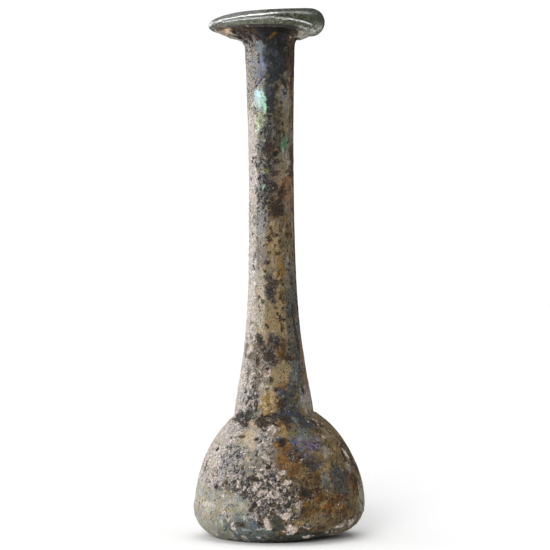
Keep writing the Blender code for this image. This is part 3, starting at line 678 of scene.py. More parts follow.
class Skin:
    """A face before its relief: place, outward direction, height, turn and radius of each point."""

    def __init__(self, line, out, columns):
        angle = np.radians(360.0 * np.arange(columns) / columns - 90.0)
        ring = np.stack([np.cos(angle), np.sin(angle)], -1)
        self.rows, self.columns = len(line), columns
        self.radius, self.height = np.repeat(line, columns, axis=0).T
        self.turn = np.tile(half_circle(np.degrees(angle) + 90.0), self.rows)
        across, sideways = ((path[:, None, 0:1] * ring).reshape(-1, 2) for path in (line, out))
        self.place = np.column_stack([across, self.height])
        self.out = np.column_stack([sideways, np.repeat(out[:, 1], columns)])

    def prepare(self):
        """Noises that the finishes share: wander, swirls, ragged edges, blotches and grains of the crust.

        Swirls and blotches are noise of places already pushed about by noise, drawn out upwards on the neck.
        """
        at = self.place
        for name, rule in NOISES.items():
            setattr(self, name, layered(at, *rule))
        drawn = at.copy()
        drawn[:, 2] -= DRAWN_OUT * np.maximum(at[:, 2] - NECK_FROM_Z, 0.0)
        swirled = drawn + SWIRL_PUSH * np.column_stack([self.drift_up, self.drift_across, self.wander])
        for name, rule in SWIRLED.items():
            setattr(self, name, layered(swirled, *rule))
        self.blotches = [layered(swirled, *rule) / BLOTCH_SPREAD for rule in BLOTCHES]
        curled = swirled + VEIN_PUSH * np.column_stack([self.ragged, self.coarse, self.fine])
        self.vein = layered(curled, *VEINS)
        self.streaks = layered(at / np.array([1.0, 1.0, STREAK_LENGTH]), *STREAKS)
        self.streaks *= smooth_step(self.height, *STREAKS_FROM_Z)

    def patches(self, share, number):
        """1 in soft blotches that cover this share of the face; the number picks one of three fields of them."""
        if share >= 1.0:
            return 1.0
        bar = np.interp(share, SHARES, BARS)
        return smooth_step(self.blotches[number % len(BLOTCHES)] + bar, -BLOTCH_EDGE, BLOTCH_EDGE)

    def spot(self, height, turn, tall, wide, lean=0.0, edge=0.30, rag=0.34):
        """1 inside an oval on the wall and 0 outside, its edge bent by drifts and made ragged by noise."""
        bend = SPOT_BEND * min(1.0, tall)
        up = self.height - height + bend * self.drift_up
        away = np.radians(half_circle(self.turn - turn)) * self.radius + bend * self.drift_across
        reach = np.hypot(up / tall, (away - lean * up) / wide) + rag * (self.ragged + 0.7 * self.coarse)
        return 1.0 - smooth_step(reach, 1.0 - edge, 1.0 + edge)

    def area(self, low, high, left, right, fade):
        """1 in a box with rounded corners, its edge wandering by noise and fading by fade mm.

        The box is where (height share ^ 4 + turn share ^ 4) ^ 1/4 is under 1.
        """
        half_tall, half_turn = (high - low) / 2.0, (right - left) / 2.0
        up = np.abs(self.height - (low + high) / 2.0)
        away = np.abs(half_circle(self.turn - (left + right) / 2.0))
        reach = ((up / half_tall) ** 4 + (away / half_turn) ** 4) ** 0.25
        least = np.minimum(half_tall, np.radians(half_turn) * self.radius)
        inside = (1.0 - reach) * least + AREA_RAGGED * self.ragged + AREA_COARSE * self.coarse
        for noise_field, (share, most) in ((self.drift_up, AREA_DRIFT), (self.wander, AREA_WANDER)):
            inside += np.minimum(share * least, most) * noise_field
        return smooth_step(inside / np.minimum(fade, AREA_SHARPEST * least), -1.0, 1.0)

    def front(self):
        """1 on the front half, falling to 0 a little past the sides."""
        return 1.0 - smooth_step(np.abs(self.turn) + FRONT_SWING * self.wander, *FRONT_FADE)


def hidden_side(skin, paint):
    """The back, plainer: it goes on from the left edge as cream crust and from the right as olive.

    Slow noise plus a slope with the turn says where the crust lies; thinner crust shows grey.
    """
    wander, ragged = skin.wander, skin.ragged
    lean = np.sin(np.radians(skin.turn))
    cover = skin.slow - 0.35 * lean + 0.30 * ragged
    for field, low, high, strength, finish in (
        (-cover, -0.5, 0.9, 0.80, "grey_olive"),
        (-cover + 0.4 * wander, 0.2, 1.0, 0.70, "olive"),
        (cover, -0.55, 0.45, 0.80, "grey_cream"),
        (cover, -0.1, 0.8, 0.85, "cream_crust"),
        (-wander + 0.3 * ragged, 0.5, 0.9, 0.60, "ochre"),
        (ragged + wander + 0.4 * lean, 0.7, 1.2, 0.60, "brown"),
    ):
        paint.lay(smooth_step(field, low, high) * strength, finish)


def front_side(skin, paint):
    """The front: broad areas first, then spots over them, then dark specks."""
    for number, (low, high, left, right, finish, share) in enumerate(AREAS):
        fade = AREA_FADE + AREA_FADE_ON_CRUST * FINISHES[finish][CRUST_COLUMN] ** 2
        paint.lay(skin.area(low, high, left, right, fade) * skin.patches(share, number), finish)
    for height, turn, tall, wide, finish, strength, *lean in SPOTS:
        paint.lay(skin.spot(height, turn, tall, wide, *lean) * strength, finish)
    for height, turn, tall, wide in DARK_SPOTS:
        speck = skin.spot(height, turn, tall * SPECK_GROWTH, wide * SPECK_GROWTH, edge=0.25, rag=0.45)
        paint.lay(SPECK_STRENGTH * speck, "brown")
        paint.rest[:, 0] += SPECK_GAPS * speck


def weather(skin):
    """Paints the outer face; returns its relief in mm outwards, its colour, layers and marks.

    A field of noise stands for how the crust lies. Where it is low there are plates, where it is high there
    are gaps, and the shares of the finish at each point say how low and how high.
    """
    skin.prepare()
    back, seen = Paint(len(skin.height), "beige"), Paint(len(skin.height), "grey_olive")
    hidden_side(skin, back)
    front_side(skin, seen)
    front = skin.front()
    tint = towards(back.tint, seen.tint, front)
    gaps, plates, pink, crust, gloss, film, mottle, thickness = towards(back.rest, seen.rest, front).T

    noises = np.stack([getattr(skin, name) for name in LIE_NOISES])
    low_down, high_up = (np.array(weights) @ noises for weights in (LIE_LOW_DOWN, LIE_HIGH_UP))
    lie = low_down + (high_up - low_down) * smooth_step(skin.height, *LIE_CHANGE_Z)
    dark_mark = MARK_FROM + MARK_PER_SHARE * gaps + GAP_LIE * lie - GAP_SAND * skin.sand
    plate_mark = MARK_FROM + MARK_PER_SHARE * plates - lie
    plate_mark -= FEW_PLATES_LESS * (1.0 - smooth_step(plates, 0.0, FEW_PLATES))
    dark = smooth_step(dark_mark, -GAP_EDGE, GAP_EDGE)
    plate = smooth_step(plate_mark, -PLATE_EDGE, PLATE_EDGE)

    shade = mottle * (skin.marble + MARBLE_RAGGED * skin.ragged - SHADE_EVEN_OUT)
    shade += SHADE_WANDER * skin.wander + SHADE_COARSE * skin.coarse
    shade += SHADE_STREAKS * skin.streaks * (0.3 + mottle)
    warmth = np.outer(skin.hue * (0.15 + 0.85 * mottle), HUE_SWING)
    tint = tint * np.exp(shade[:, None] + warmth)
    thread = bell(skin.vein, 0.0, THREAD_HALF) * (0.15 + 0.35 * mottle)
    tint = np.clip(tint + (tint * THREAD_MORE + THREAD_PALE) * thread[:, None], DARKEST, PALEST)

    grains = COARSE_HEIGHT * skin.coarse + FINE_HEIGHT * skin.fine
    relief = thickness + crust * (grains + PLATE_HEIGHT * plate) - GAP_DEPTH * dark * (0.4 + 0.6 * crust)
    relief -= SKIN_SINK
    for height, turn, size in PITS:
        hole = skin.spot(height, turn, size, size, edge=0.4, rag=0.2)
        relief -= PIT_DEPTH * hole
        dark_mark += PIT_DARK * hole
    layers = np.column_stack([crust, np.clip(gaps, 0.0, 1.0), gloss, film])
    marks = np.column_stack([plate_mark + 0.5, dark_mark + 0.5, pink, plates])
    return relief, tint, layers, np.clip(marks, 0.0, 1.0)


# ---------------------------------------------------------------- meshes

# The inside: colour, how much noise changes it, layers, marks, and height of its silt in mm
SILT = (0.12, 0.095, 0.07)
SILT_SWING = 0.5
SILT_LAYERS = (0.8, 0.1, 0.1, 0.0)
SILT_MARKS = (0.2, 0.3, 0.5, 0.0)
SILT_HEIGHT = 0.05
# The broken edge of the upper crust: height at its right end, fall in mm for each degree to the left, where
# it begins and ends, height of the step, depth of the groove and colour of the flecks under it
EDGE_Z = 148.8
EDGE_TURN = -12.0
EDGE_FALL = 5.8 / 54.0
EDGE_RAGGED = 0.5
EDGE_BEGINS = (-80.0, -70.0)
EDGE_ENDS = (-14.0, -6.0)
EDGE_STEP = 0.16
EDGE_GROOVE = 0.10
EDGE_FLECK = (0.45, 0.42, 0.38)


def ring_pairs(first, columns):
    """Each point of a ring, and the next point round."""
    index = np.arange(columns)
    return first + index, first + (index + 1) % columns


def grid_faces(rows, columns, first=0):
    """Four-sided faces between neighbouring rows, closed round the columns, facing outward."""
    here, ahead = ring_pairs(0, columns)
    below = first + columns * np.arange(rows - 1)[:, None]
    quads = np.stack([below + here, below + ahead, below + columns + ahead, below + columns + here], -1)
    return quads.reshape(-1, 4).tolist()


def narrowing_faces(wide_first, narrow_first, narrow_count, opening=False):
    """Triangles between a ring and one with fewer points, each narrow point serving INNER_SHARE wide ones."""
    here, ahead = ring_pairs(narrow_first, narrow_count)
    start = INNER_SHARE * np.arange(narrow_count)
    wide = [wide_first + (start + k) % (narrow_count * INNER_SHARE) for k in range(INNER_SHARE + 1)]
    faces = [np.stack([wide[k], wide[k + 1], here], -1) for k in range(INNER_SHARE)]
    faces = np.vstack(faces + [np.stack([wide[-1], ahead, here], -1)])
    return (faces[:, ::-1] if opening else faces).tolist()


def fan_faces(first, columns, pole, under=False):
    """Triangles from a ring to its pole, turned over where the pole is under the vessel."""
    here, ahead = ring_pairs(first, columns)
    faces = np.stack([here, ahead, np.full_like(here, pole)], -1)
    return (faces[:, ::-1] if under else faces).tolist()


def wall_faces(outer, inner):
    """Faces of an outer and an inner skin, joined where the outer ends, and the inner's last ring's start."""
    first = outer.rows * outer.columns
    faces = grid_faces(outer.rows, outer.columns) + grid_faces(inner.rows, inner.columns, first)
    faces += narrowing_faces(first - outer.columns, first, inner.columns)
    return faces, first + (inner.rows - 1) * inner.columns


def put_in(name, faces, material, *parts):
    """A mesh object inside the frame's box, from parts: each has points in mm, tint, layers and marks."""
    points, tint, *rest = (np.vstack(values) for values in zip(*parts))
    low, high = np.array(CAD_LOW) / MM, np.array(CAD_HIGH) / MM
    inside = np.clip(points, low + BOX_MARGIN, high - BOX_MARGIN)
    mesh = bpy.data.meshes.new(name)
    mesh.from_pydata((inside * MM).tolist(), [], faces)
    opaque = np.column_stack([tint, np.ones(len(tint))])
    for label, values in zip(("tint", "layers", "marks"), (opaque, *rest)):
        attribute = mesh.attributes.new(label, "FLOAT_COLOR", "POINT")
        attribute.data.foreach_set("color", values.astype(np.float32).ravel())
    mesh.shade_smooth()
    mesh.set_sharp_from_angle(angle=np.radians(SHARP_ANGLE))
    mesh.materials.append(material)
    piece = bpy.data.objects.new(name, mesh)
    bpy.context.scene.collection.objects.link(piece)
    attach(piece, "root")
    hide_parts("unguentarium")


def moved(skin, relief, *looks):
    """The skin's points after the hand-made moves, each raised by its relief; then the skin's looks."""
    points = skin.place
    for move in (uneven_lip, tip_rim, lean_neck, sway_bulb, lift_heel):
        points = move(points)
    return points + skin.out * relief[:, None], *looks


def silted(skin):
    """The inside: brown-grey silt, paler where it lies thick."""
    thick = 1.0 + SILT_SWING * layered(skin.place, 4.0, 3, 83)
    tint = np.clip(np.outer(thick, SILT), 0.01, 0.5)
    layers, marks = (np.tile(row, (len(tint), 1)) for row in (SILT_LAYERS, SILT_MARKS))
    return SILT_HEIGHT * noise(skin.place, 1.4, 89), tint, layers, marks


def build_bulb(section, material):
    """The bulb: from the pole under the base up to the shoulder, then in fewer rows to the floor's pole."""
    shoulder, ring = SHOULDER_Z - PIECE_GAP / 2, int(RING_INNER / PATH_STEP)
    base = section.rows(BASE_POLE_STEPS, ring, BASE_ROWS)
    side = section.rows(ring + BASE_RING_STEPS, section.at_height(shoulder, False), BULB_ROWS)
    floor = len(section.line) - FLOOR_POLE_STEPS
    inner_rows = section.rows(section.at_height(shoulder, True), floor, BULB_INNER_ROWS)
    outer = Skin(*(np.vstack(pair) for pair in zip(base, side)), BULB_COLUMNS)
    inner = Skin(*inner_rows, BULB_COLUMNS // INNER_SHARE)
    relief, *looks = weather(outer)
    outside = moved(outer, relief * smooth_step(outer.radius, *POLE_FLAT), *looks)
    inside = moved(inner, *silted(inner))
    poles = [[[0.0, 0.0, section.line[end, 1]]] for end in (0, -1)]
    under = (poles[0], *(values[:1] for values in outside[1:]))
    above = (poles[1], *(values[-1:] for values in inside[1:]))
    faces, last = wall_faces(outer, inner)
    faces += fan_faces(0, outer.columns, last + inner.columns, under=True)
    faces += fan_faces(last, inner.columns, last + inner.columns + 1)
    put_in("bulb", faces, material, outside, inside, under, above)


def build_neck(section, material):
    """The neck: rows from the shoulder to under the rim, then fewer back down inside, closed at both ends."""
    shoulder, rim = SHOULDER_Z + PIECE_GAP / 2, UNDER_RIM_Z - PIECE_GAP / 2
    outer_rows = section.rows(section.at_height(shoulder, False), under_lip_index(section) - 1, NECK_ROWS)
    start, end = section.at_height(rim, True), section.at_height(shoulder, True)
    inner_rows = section.rows(start, end, NECK_INNER_ROWS)
    outer = Skin(*outer_rows, NECK_COLUMNS)
    inner = Skin(*inner_rows, NECK_COLUMNS // INNER_SHARE)
    faces, last = wall_faces(outer, inner)
    faces += narrowing_faces(0, last, inner.columns, opening=True)
    outside = moved(outer, *flake_edge(outer, *weather(outer)))
    put_in("neck", faces, material, outside, moved(inner, *silted(inner)))


def flake_edge(skin, relief, tint, *rest):
    """The broken edge of the upper crust: a slanting line, raised above it, with a groove just under it darkened
    as painted shade.
    """
    line = EDGE_Z + EDGE_FALL * (skin.turn - EDGE_TURN) + EDGE_RAGGED * skin.ragged
    along = smooth_step(skin.turn, *EDGE_BEGINS) * (1.0 - smooth_step(skin.turn, *EDGE_ENDS))
    above = skin.height - line
    step = smooth_step(above, -0.15, 0.15) * (1.0 - smooth_step(above, 4.0, 9.0)) * along
    shaded_groove = bell(above, -0.1, 0.28) * along
    flecks = bell(above, -0.8, 0.45) * along * smooth_step(skin.ragged, 0.1, 0.4)
    # painted shade: the colour darkened in the groove under the step, with pale flecks below it
    tint = towards(tint * (1.0 - 0.8 * shaded_groove)[:, None], EDGE_FLECK, 0.8 * flecks)
    return relief + EDGE_STEP * step - EDGE_GROOVE * shaded_groove, tint, *rest


def under_lip_index(section):
    """Index on the outer side where the lip's round bottom meets the slope under it."""
    radius, height = section.line[: section.top].T
    return int(np.argmax((height > UNDER_RIM_Z) & (radius > RIM_RADIUS - LIP_BOTTOM_FROM)))


def build_rim(section, material):
    """The rim: rows from under the lip, round it and down the funnel, closed by the joint with the neck."""
    end = section.at_height(UNDER_RIM_Z + PIECE_GAP / 2, True)
    skin = Skin(*section.rows(under_lip_index(section) + 1, end, RIM_ROWS), RIM_COLUMNS)
    skin.prepare()
    here, ahead = ring_pairs(0, skin.columns)
    last = (skin.rows - 1) * skin.columns
    joint = np.stack([last + here, last + ahead, ahead, here], -1).tolist()
    put_in("rim", grid_faces(skin.rows, skin.columns) + joint, material, moved(skin, *rim_finish(skin)))


# ---------------------------------------------------------------- the clear rim

# The glass round the lip: turn, then its colour. It is paler at the left and darker at the right, partly thicker
# glass at the right and partly painted light falling from the left
LIP_GLASS_AND_PAINTED_LIGHT = (
    (-150, 0.36, 0.39, 0.31), (-95, 0.62, 0.64, 0.58), (-45, 0.74, 0.75, 0.72), (-8, 0.56, 0.58, 0.52),
    (14, 0.26, 0.28, 0.21), (45, 0.22, 0.24, 0.17), (85, 0.15, 0.17, 0.11), (150, 0.3, 0.33, 0.26),
)
# Marks on the lip: turn, angle round it (0 outermost, 90 on top), half turn, half angle, lean in angle per
# turn, colour, strength and how opaque. Most are stains; some are painted highlights and painted shade
LIP_MARKS = [
    # the pale marks at turns -66 to -33, below the middle, are painted highlights at the lip's left end
    (-60, -35, 16, 22, 0, (0.2, 0.22, 0.18), 0.75, 0.25), (-66, -30, 4, 9, 0, (0.5, 0.52, 0.48), 0.7, 0.5),
    (-54, -40, 4, 7, 0.5, (0.55, 0.56, 0.5), 0.7, 0.6), (-40, -40, 5, 6, 0.3, (0.6, 0.62, 0.56), 0.8, 0.6),
    (-33, -46, 4, 5, 0, (0.55, 0.57, 0.52), 0.7, 0.5), (-14, 2, 26, 4, -0.15, (0.28, 0.31, 0.22), 0.6, 0.2),
    (-22, -58, 34, 26, 0, (0.42, 0.47, 0.34), 0.85, 0.25),
    (8, -56, 24, 24, 0, (0.27, 0.29, 0.2), 0.85, 0.3),
    # the dark channel from here to turn 46: the fold's channel, darkened as painted shade between the highlight
    # lines
    (20, 4, 20, 12, -0.45, (0.06, 0.066, 0.042), 0.95, 0.5),
    (46, -12, 24, 8, -0.35, (0.085, 0.095, 0.06), 0.85, 0.4),
    (22, 68, 34, 22, 0, (0.11, 0.12, 0.085), 0.85, 0.4),
    (11, 42, 13, 16, 0, (0.045, 0.047, 0.036), 0.9, 0.6),
    (32, 78, 20, 18, -0.3, (0.05, 0.058, 0.036), 0.85, 0.6),
    (54, 44, 13, 22, -0.6, (0.035, 0.04, 0.026), 0.95, 0.6),
    # a soft grey painted highlight on the upper right of the lip
    (33, 24, 16, 9, -0.35, (0.42, 0.43, 0.39), 0.75, 0.4),
    (22, -38, 12, 12, -0.3, (0.1, 0.1, 0.08), 0.85, 0.6),
    (35, -52, 14, 10, -0.8, (0.1, 0.105, 0.08), 0.8, 0.5), (19, -30, 3, 6, 0, (0.55, 0.52, 0.46), 0.7, 0.8),
    (12, -20, 5, 7, 0, (0.4, 0.36, 0.31), 0.6, 0.7), (58, -84, 24, 20, 0, (0.5, 0.5, 0.43), 0.9, 0.6),
]
# The fold round the front of the lip: turn, angle, and how strong the painted highlight line along its edge is
LIP_FOLD_AND_HIGHLIGHT = (
    (-50, -26, 0), (-44, -25, 0.8), (-10, -22, 0.9), (0, -20, 0.5), (15, -24, 0.3), (22, -27, 1.2),
    (40, -37, 1.5), (50, -43, 1.2), (54, -46, 0),
)
# Dirt under the lip: turn, then its colour and how far it covers
UNDER_LIP = (
    (-100, 0.2, 0.2, 0.16, 0.55), (-78, 0.24, 0.24, 0.19, 0.45), (-70, 0.1, 0.06, 0.04, 0.85),
    (-50, 0.11, 0.08, 0.065, 1), (-30, 0.08, 0.055, 0.042, 1), (-10, 0.042, 0.036, 0.031, 1),
    (35, 0.034, 0.032, 0.028, 1), (48, 0.07, 0.052, 0.04, 0.95), (56, 0.4, 0.38, 0.31, 0.55),
    (100, 0.36, 0.36, 0.29, 0.45), (150, 0.14, 0.11, 0.08, 0.7),
)
# How opaque bare glass is, the painted highlight low on the right end, and the fold's bands as (centre, half) in
# degrees: its roll, the painted highlight line along its edge, and its groove, darkened as painted shade
GLASS_OPAQUE = 0.12
RIGHT_HIGHLIGHT_TURN = (72.0, 20.0)
RIGHT_HIGHLIGHT_ANGLE = (-46.0, 24.0)
RIGHT_HIGHLIGHT_COLOUR = (0.46, 0.48, 0.41)
RIGHT_HIGHLIGHT_OPAQUE = 0.55
FOLD_ROLL = (0.0, 8.0)
FOLD_HIGHLIGHT_BAND = (4.0, 4.0)
FOLD_GROOVE = (13.0, 5.0)
FOLD_HIGHLIGHT_COLOUR = (0.82, 0.83, 0.79)
FOLD_HIGHLIGHT_OPAQUE = 0.65
# The face under the lip: angles where it begins; then a stained patch on it: turn, radius in mm and colour
UNDER_BEGINS = (-92.0, -80.0)
STAIN_TURN = -63.0
STAIN_RADIUS = 14.0
STAIN_HALF = (9.0, 1.8)
STAIN = (0.36, 0.26, 0.16)
# Silt in the funnel: angles where it begins, and its colour
FUNNEL_BEGINS = (105.0, 135.0)
FUNNEL_SILT = (0.13, 0.115, 0.09)


def round_lip(skin):
    """Degrees round the lip's section: 0 outermost, 90 on top, less than -90 below, over 90 inside."""
    rise = skin.height[:: skin.columns] - RIM_Z
    away = skin.radius[:: skin.columns] - (RIM_RADIUS - LIP_HALF)
    return np.repeat(np.degrees(np.unwrap(np.arctan2(rise, away))), skin.columns)


def by_turn(turn, rows):
    """Values that change evenly with the turn, read between the rows of a list round the whole circle."""
    turns, *columns = np.array(rows).T
    return np.column_stack([np.interp(turn, turns, column, period=360.0) for column in columns])


def rim_finish(skin):
    """Clear glass, grey left and dark olive right in part by painted light, with a fold, stains, painted
    highlights and shade, and dirt under it.
    """
    turn, angle = skin.turn, round_lip(skin)
    bent = angle + 5.0 * skin.wander
    swing = 0.28 * skin.marble + 0.16 * skin.ragged + 0.10 * skin.coarse
    # glass colour by turn, partly painted light: paler at the left where the light falls, darker at the right
    glass = by_turn(turn, LIP_GLASS_AND_PAINTED_LIGHT) * np.exp(swing)[:, None]
    looks = np.column_stack([glass, np.full(len(turn), GLASS_OPAQUE)])
    for centre, at, half_turn, half_angle, lean, colour, strength, cover in LIP_MARKS:
        away = half_circle(turn - centre)
        reach = np.hypot(away / half_turn, (bent - at - lean * away) / half_angle)
        share = strength * (1.0 - smooth_step(reach + 0.55 * skin.ragged + 0.35 * skin.coarse, 0.6, 1.4))
        looks = towards(looks, (*colour, cover), share)
    # a soft painted highlight low on the lip's right end
    right_highlight = 0.9 * bell(turn, *RIGHT_HIGHLIGHT_TURN) * bell(angle, *RIGHT_HIGHLIGHT_ANGLE)
    looks = towards(looks, (*RIGHT_HIGHLIGHT_COLOUR, RIGHT_HIGHLIGHT_OPAQUE), right_highlight)

    turns, angles, pale = np.array(LIP_FOLD_AND_HIGHLIGHT).T
    off_fold = angle - np.interp(turn, turns, angles) + 1.5 * skin.ragged
    along = smooth_step(np.interp(turn, turns, np.minimum(pale, 1.0)), 0.0, 0.4)
    roll, shaded_groove = bell(off_fold, *FOLD_ROLL) * along, bell(off_fold, *FOLD_GROOVE) * along
    # the pale band along the fold's edge is a painted highlight line
    edge = bell(off_fold, *FOLD_HIGHLIGHT_BAND) * np.interp(turn, turns, pale) * (1.1 + 0.6 * skin.coarse)
    looks = towards(looks, (*FOLD_HIGHLIGHT_COLOUR, FOLD_HIGHLIGHT_OPAQUE), np.clip(edge, 0.0, 1.0))
    # painted shade: the colour darkened in the fold's groove
    looks[:, :3] *= (1.0 - 0.35 * shaded_groove)[:, None]

    under = 1.0 - smooth_step(bent, *UNDER_BEGINS)
    soil = by_turn(turn, UNDER_LIP)
    soil[:, :3] *= np.exp(0.55 * skin.marble + 0.40 * skin.ragged + 0.20 * skin.coarse)[:, None]
    off_stain = np.hypot((turn - STAIN_TURN) / STAIN_HALF[0], (skin.radius - STAIN_RADIUS) / STAIN_HALF[1])
    stain = under * (1.0 - smooth_step(off_stain + 0.25 * skin.ragged, 0.8, 1.15))
    soil[:, 3] = np.maximum(under * soil[:, 3], stain)
    looks = towards(looks, soil, under)
    looks[:, :3] = towards(looks[:, :3], STAIN, stain)

    funnel = smooth_step(angle, *FUNNEL_BEGINS)
    silt = np.outer(np.exp(0.5 * skin.marble), FUNNEL_SILT)
    looks[:, :3] = towards(looks[:, :3], silt, 0.85 * funnel)
    opaque = looks[:, 3] + (0.75 + 0.25 * skin.wander - looks[:, 3]) * funnel
    opaque = np.clip(opaque, 0.0, 1.0)
    relief = 0.30 * roll - 0.16 * shaded_groove + 0.04 * skin.slow + 0.03 * skin.wander - 0.06
    relief += 0.10 * opaque * under * (1.0 + skin.coarse)
    layers = np.outer(opaque, (1.0, 0.0, 0.0, 0.0))
    return relief, np.clip(looks[:, :3], 0.01, PALEST), layers, np.zeros_like(layers)


# ---------------------------------------------------------------- materials

# Noises of the materials: scale in 1/m, detail, roughness, and how far they curl
CRUST_GRIT = (2300.0, 3.0, 0.65)
CRUST_DUST = (6500.0, 2.0, 0.6)
CRUST_MOTES = (2900.0, 2.0, 0.6)
CRUST_CHAFF = (2500.0, 2.0, 0.5, 0.3)
CRUST_LUMPS = (750.0, 2.0, 0.6)
CRUST_CURLS = (1000.0, 2.0, 0.5, 0.6)
PINHOLES = 900.0
RIM_GRIT = (1800.0, 3.0, 0.6)
RIM_BUBBLES = (600.0, 2.0, 0.5)
# Colours of the crust's small things: the first darkens the colour in the gaps as painted shade, the second is
# dark soil
GAP_SHADE = (0.20, 0.19, 0.19, 1.0)
SOIL = (0.026, 0.023, 0.021, 1.0)
PALE_THREAD = (0.40, 0.36, 0.31, 1.0)
PALE_CHAFF = (0.55, 0.49, 0.43, 1.0)
PINHOLE = (0.02, 0.018, 0.016, 1.0)
# Where a mark of 0.5 turns into a plate or a gap, how far grit moves that edge, and how much of each shows
MARK_EDGE = (0.47, 0.53)
EDGE_GRIT = 0.80
PLATE_COVERS = 0.92
GAP_COVERS = 0.90
SOIL_SHARE = 0.6
# Light and dark by grit, dust and lumps; a plate's tone is (mark from, mark to, tone at from, tone at to)
GRIT_LIGHT = 1.6
GRIT_LIGHT_ON_CRUST = 1.9
DUST_LIGHT = 0.7
LUMP_TONE = 1.7
PLATE_TONE = (0.46, 0.62, 0.66, 1.02)
# Threads, dark motes, pale chaff and pinholes: where their noise begins to show, and how much of them shows
THREAD_EDGE = (0.020, 0.005)
MOTES_FROM = 0.32
MOTES_MORE = 0.16
MOTE_EDGE = (-0.02, 0.02)
CHAFF_FROM = 0.76
CHAFF_MORE = 0.22
CHAFF_EDGE = (-0.02, 0.03)
CHAFF_COVERS = (0.02, 0.4, 0.05, 0.8)
PINHOLE_EDGE = (0.16, 0.05)
PINHOLE_COVERS = 0.8
# The surface: roughness, metal of the films, gloss, and bumps as (strength, height in m)
CRUST_ROUGH = 0.82
GLOSS_SMOOTHS = 0.50
DUST_ROUGH = 0.3
FILM_METAL = 0.35
CRUST_SPECULAR = 0.10
CRUST_BUMP = (0.8, 0.00018)
GLASS_IOR = 1.5
RIM_ROUGH = 0.05
RIM_SEE_THROUGH = 0.70
RIM_SPECULAR = 1.0
RIM_BUMP = (0.35, 0.00008)
# Dirt, and the painted highlights and shade, on the rim: where they begin to cover the glass and how far grit
# breaks them up
DIRT_EDGE = (0.25, 0.75)
DIRT_BROKEN = 1.4
DIRT_LIGHT = 2.0
DIRT_ROUGH = 0.85
DIRT_BUMP = (0.8, 0.00012)
# Places of the colour inputs and output on a Mix node
MIX_INPUTS = (0, 6, 7)
MIX_OUTPUT = 2


class Value:
    """A node's output that is added, taken away and multiplied like a number, each time by a Math node."""

    def __init__(self, nodes, socket):
        self.nodes, self.socket = nodes, socket

    def __add__(self, other):
        return self.nodes.math("ADD", self, other)

    def __sub__(self, other):
        return self.nodes.math("SUBTRACT", self, other)

    def __rsub__(self, other):
        return self.nodes.math("SUBTRACT", other, self)

    def __mul__(self, other):
        return self.nodes.math("MULTIPLY", self, other)

    def __abs__(self):
        return self.nodes.math("ABSOLUTE", self)

    __radd__, __rmul__ = __add__, __mul__


class Nodes:
    """A short way to add nodes to a material or a world and join them."""

    def __init__(self, owner):
        owner.use_nodes = True
        self.tree = owner.node_tree
        self.tree.nodes.clear()

    def give(self, socket, value):
        """A socket's value: another node's output, or a plain one on the socket itself."""
        value = value.socket if isinstance(value, Value) else value
        if isinstance(value, bpy.types.NodeSocket):
            self.tree.links.new(value, socket)
        else:
            socket.default_value = value

    def add(self, kind, settings=None, **inputs):
        """A node with its settings, and its inputs by name, an underscore standing for a space."""
        node = self.tree.nodes.new(kind)
        for key, value in (settings or {}).items():
            setattr(node, key, value)
        for key, value in inputs.items():
            self.give(node.inputs[key.replace("_", " ")], value)
        return node

    def row(self, kind, settings, *values):
        """The output of a node whose inputs are given in order."""
        node = self.add(kind, settings)
        for socket, value in zip(node.inputs, values):
            self.give(socket, value)
        return Value(self, node.outputs[0])

    def math(self, operation, *values):
        """A sum, product or the like of one or two numbers."""
        return self.row("ShaderNodeMath", {"operation": operation}, *values)

    def fit(self, value, low, high, to_low=0.0, to_high=1.0):
        """An even S-curve from one value at low to another at high."""
        settings = {"interpolation_type": "SMOOTHSTEP"}
        return self.row("ShaderNodeMapRange", settings, value, low, high, to_low, to_high)

    def blend(self, share, first, second, kind="MIX"):
        """Two colours mixed by a share from 0 to 1."""
        node = self.add("ShaderNodeMix", {"data_type": "RGBA", "blend_type": kind})
        for place, value in zip(MIX_INPUTS, (share, first, second)):
            self.give(node.inputs[place], value)
        return node.outputs[MIX_OUTPUT]

    def shaded(self, colour, light):
        """A colour made lighter or darker by a number."""
        grey = self.add("ShaderNodeCombineXYZ", X=light, Y=light, Z=light).outputs[0]
        return self.blend(1.0, colour, grey, "MULTIPLY")

    def painted(self, label):
        """The four numbers that a mesh keeps at each point under a label."""
        kept = self.add("ShaderNodeAttribute", {"attribute_name": label}).outputs
        split = self.add("ShaderNodeSeparateColor", Color=kept["Color"]).outputs
        return [Value(self, socket) for socket in (*split, kept["Alpha"])]

    def surface(self):
        """The place on the object, and the painted colour there."""
        tint = self.add("ShaderNodeAttribute", {"attribute_name": "tint"})
        return self.add("ShaderNodeTexCoord").outputs["Object"], tint.outputs["Color"]

    def cloud(self, where, scale, detail, roughness, curl=0.0):
        """Noise from 0 to 1 over the object."""
        inputs = {"Scale": scale, "Detail": detail, "Roughness": roughness, "Distortion": curl}
        return Value(self, self.add("ShaderNodeTexNoise", Vector=where, **inputs).outputs["Fac"])

    def raised(self, height, strength, distance):
        """The direction of the face, tilted by a height."""
        return self.add("ShaderNodeBump", Height=height, Strength=strength, Distance=distance).outputs[0]

    def finish(self, shader, kind="ShaderNodeOutputMaterial"):
        """Shows this shader on the material or world."""
        self.give(self.add(kind).inputs["Surface"], shader.outputs[0])


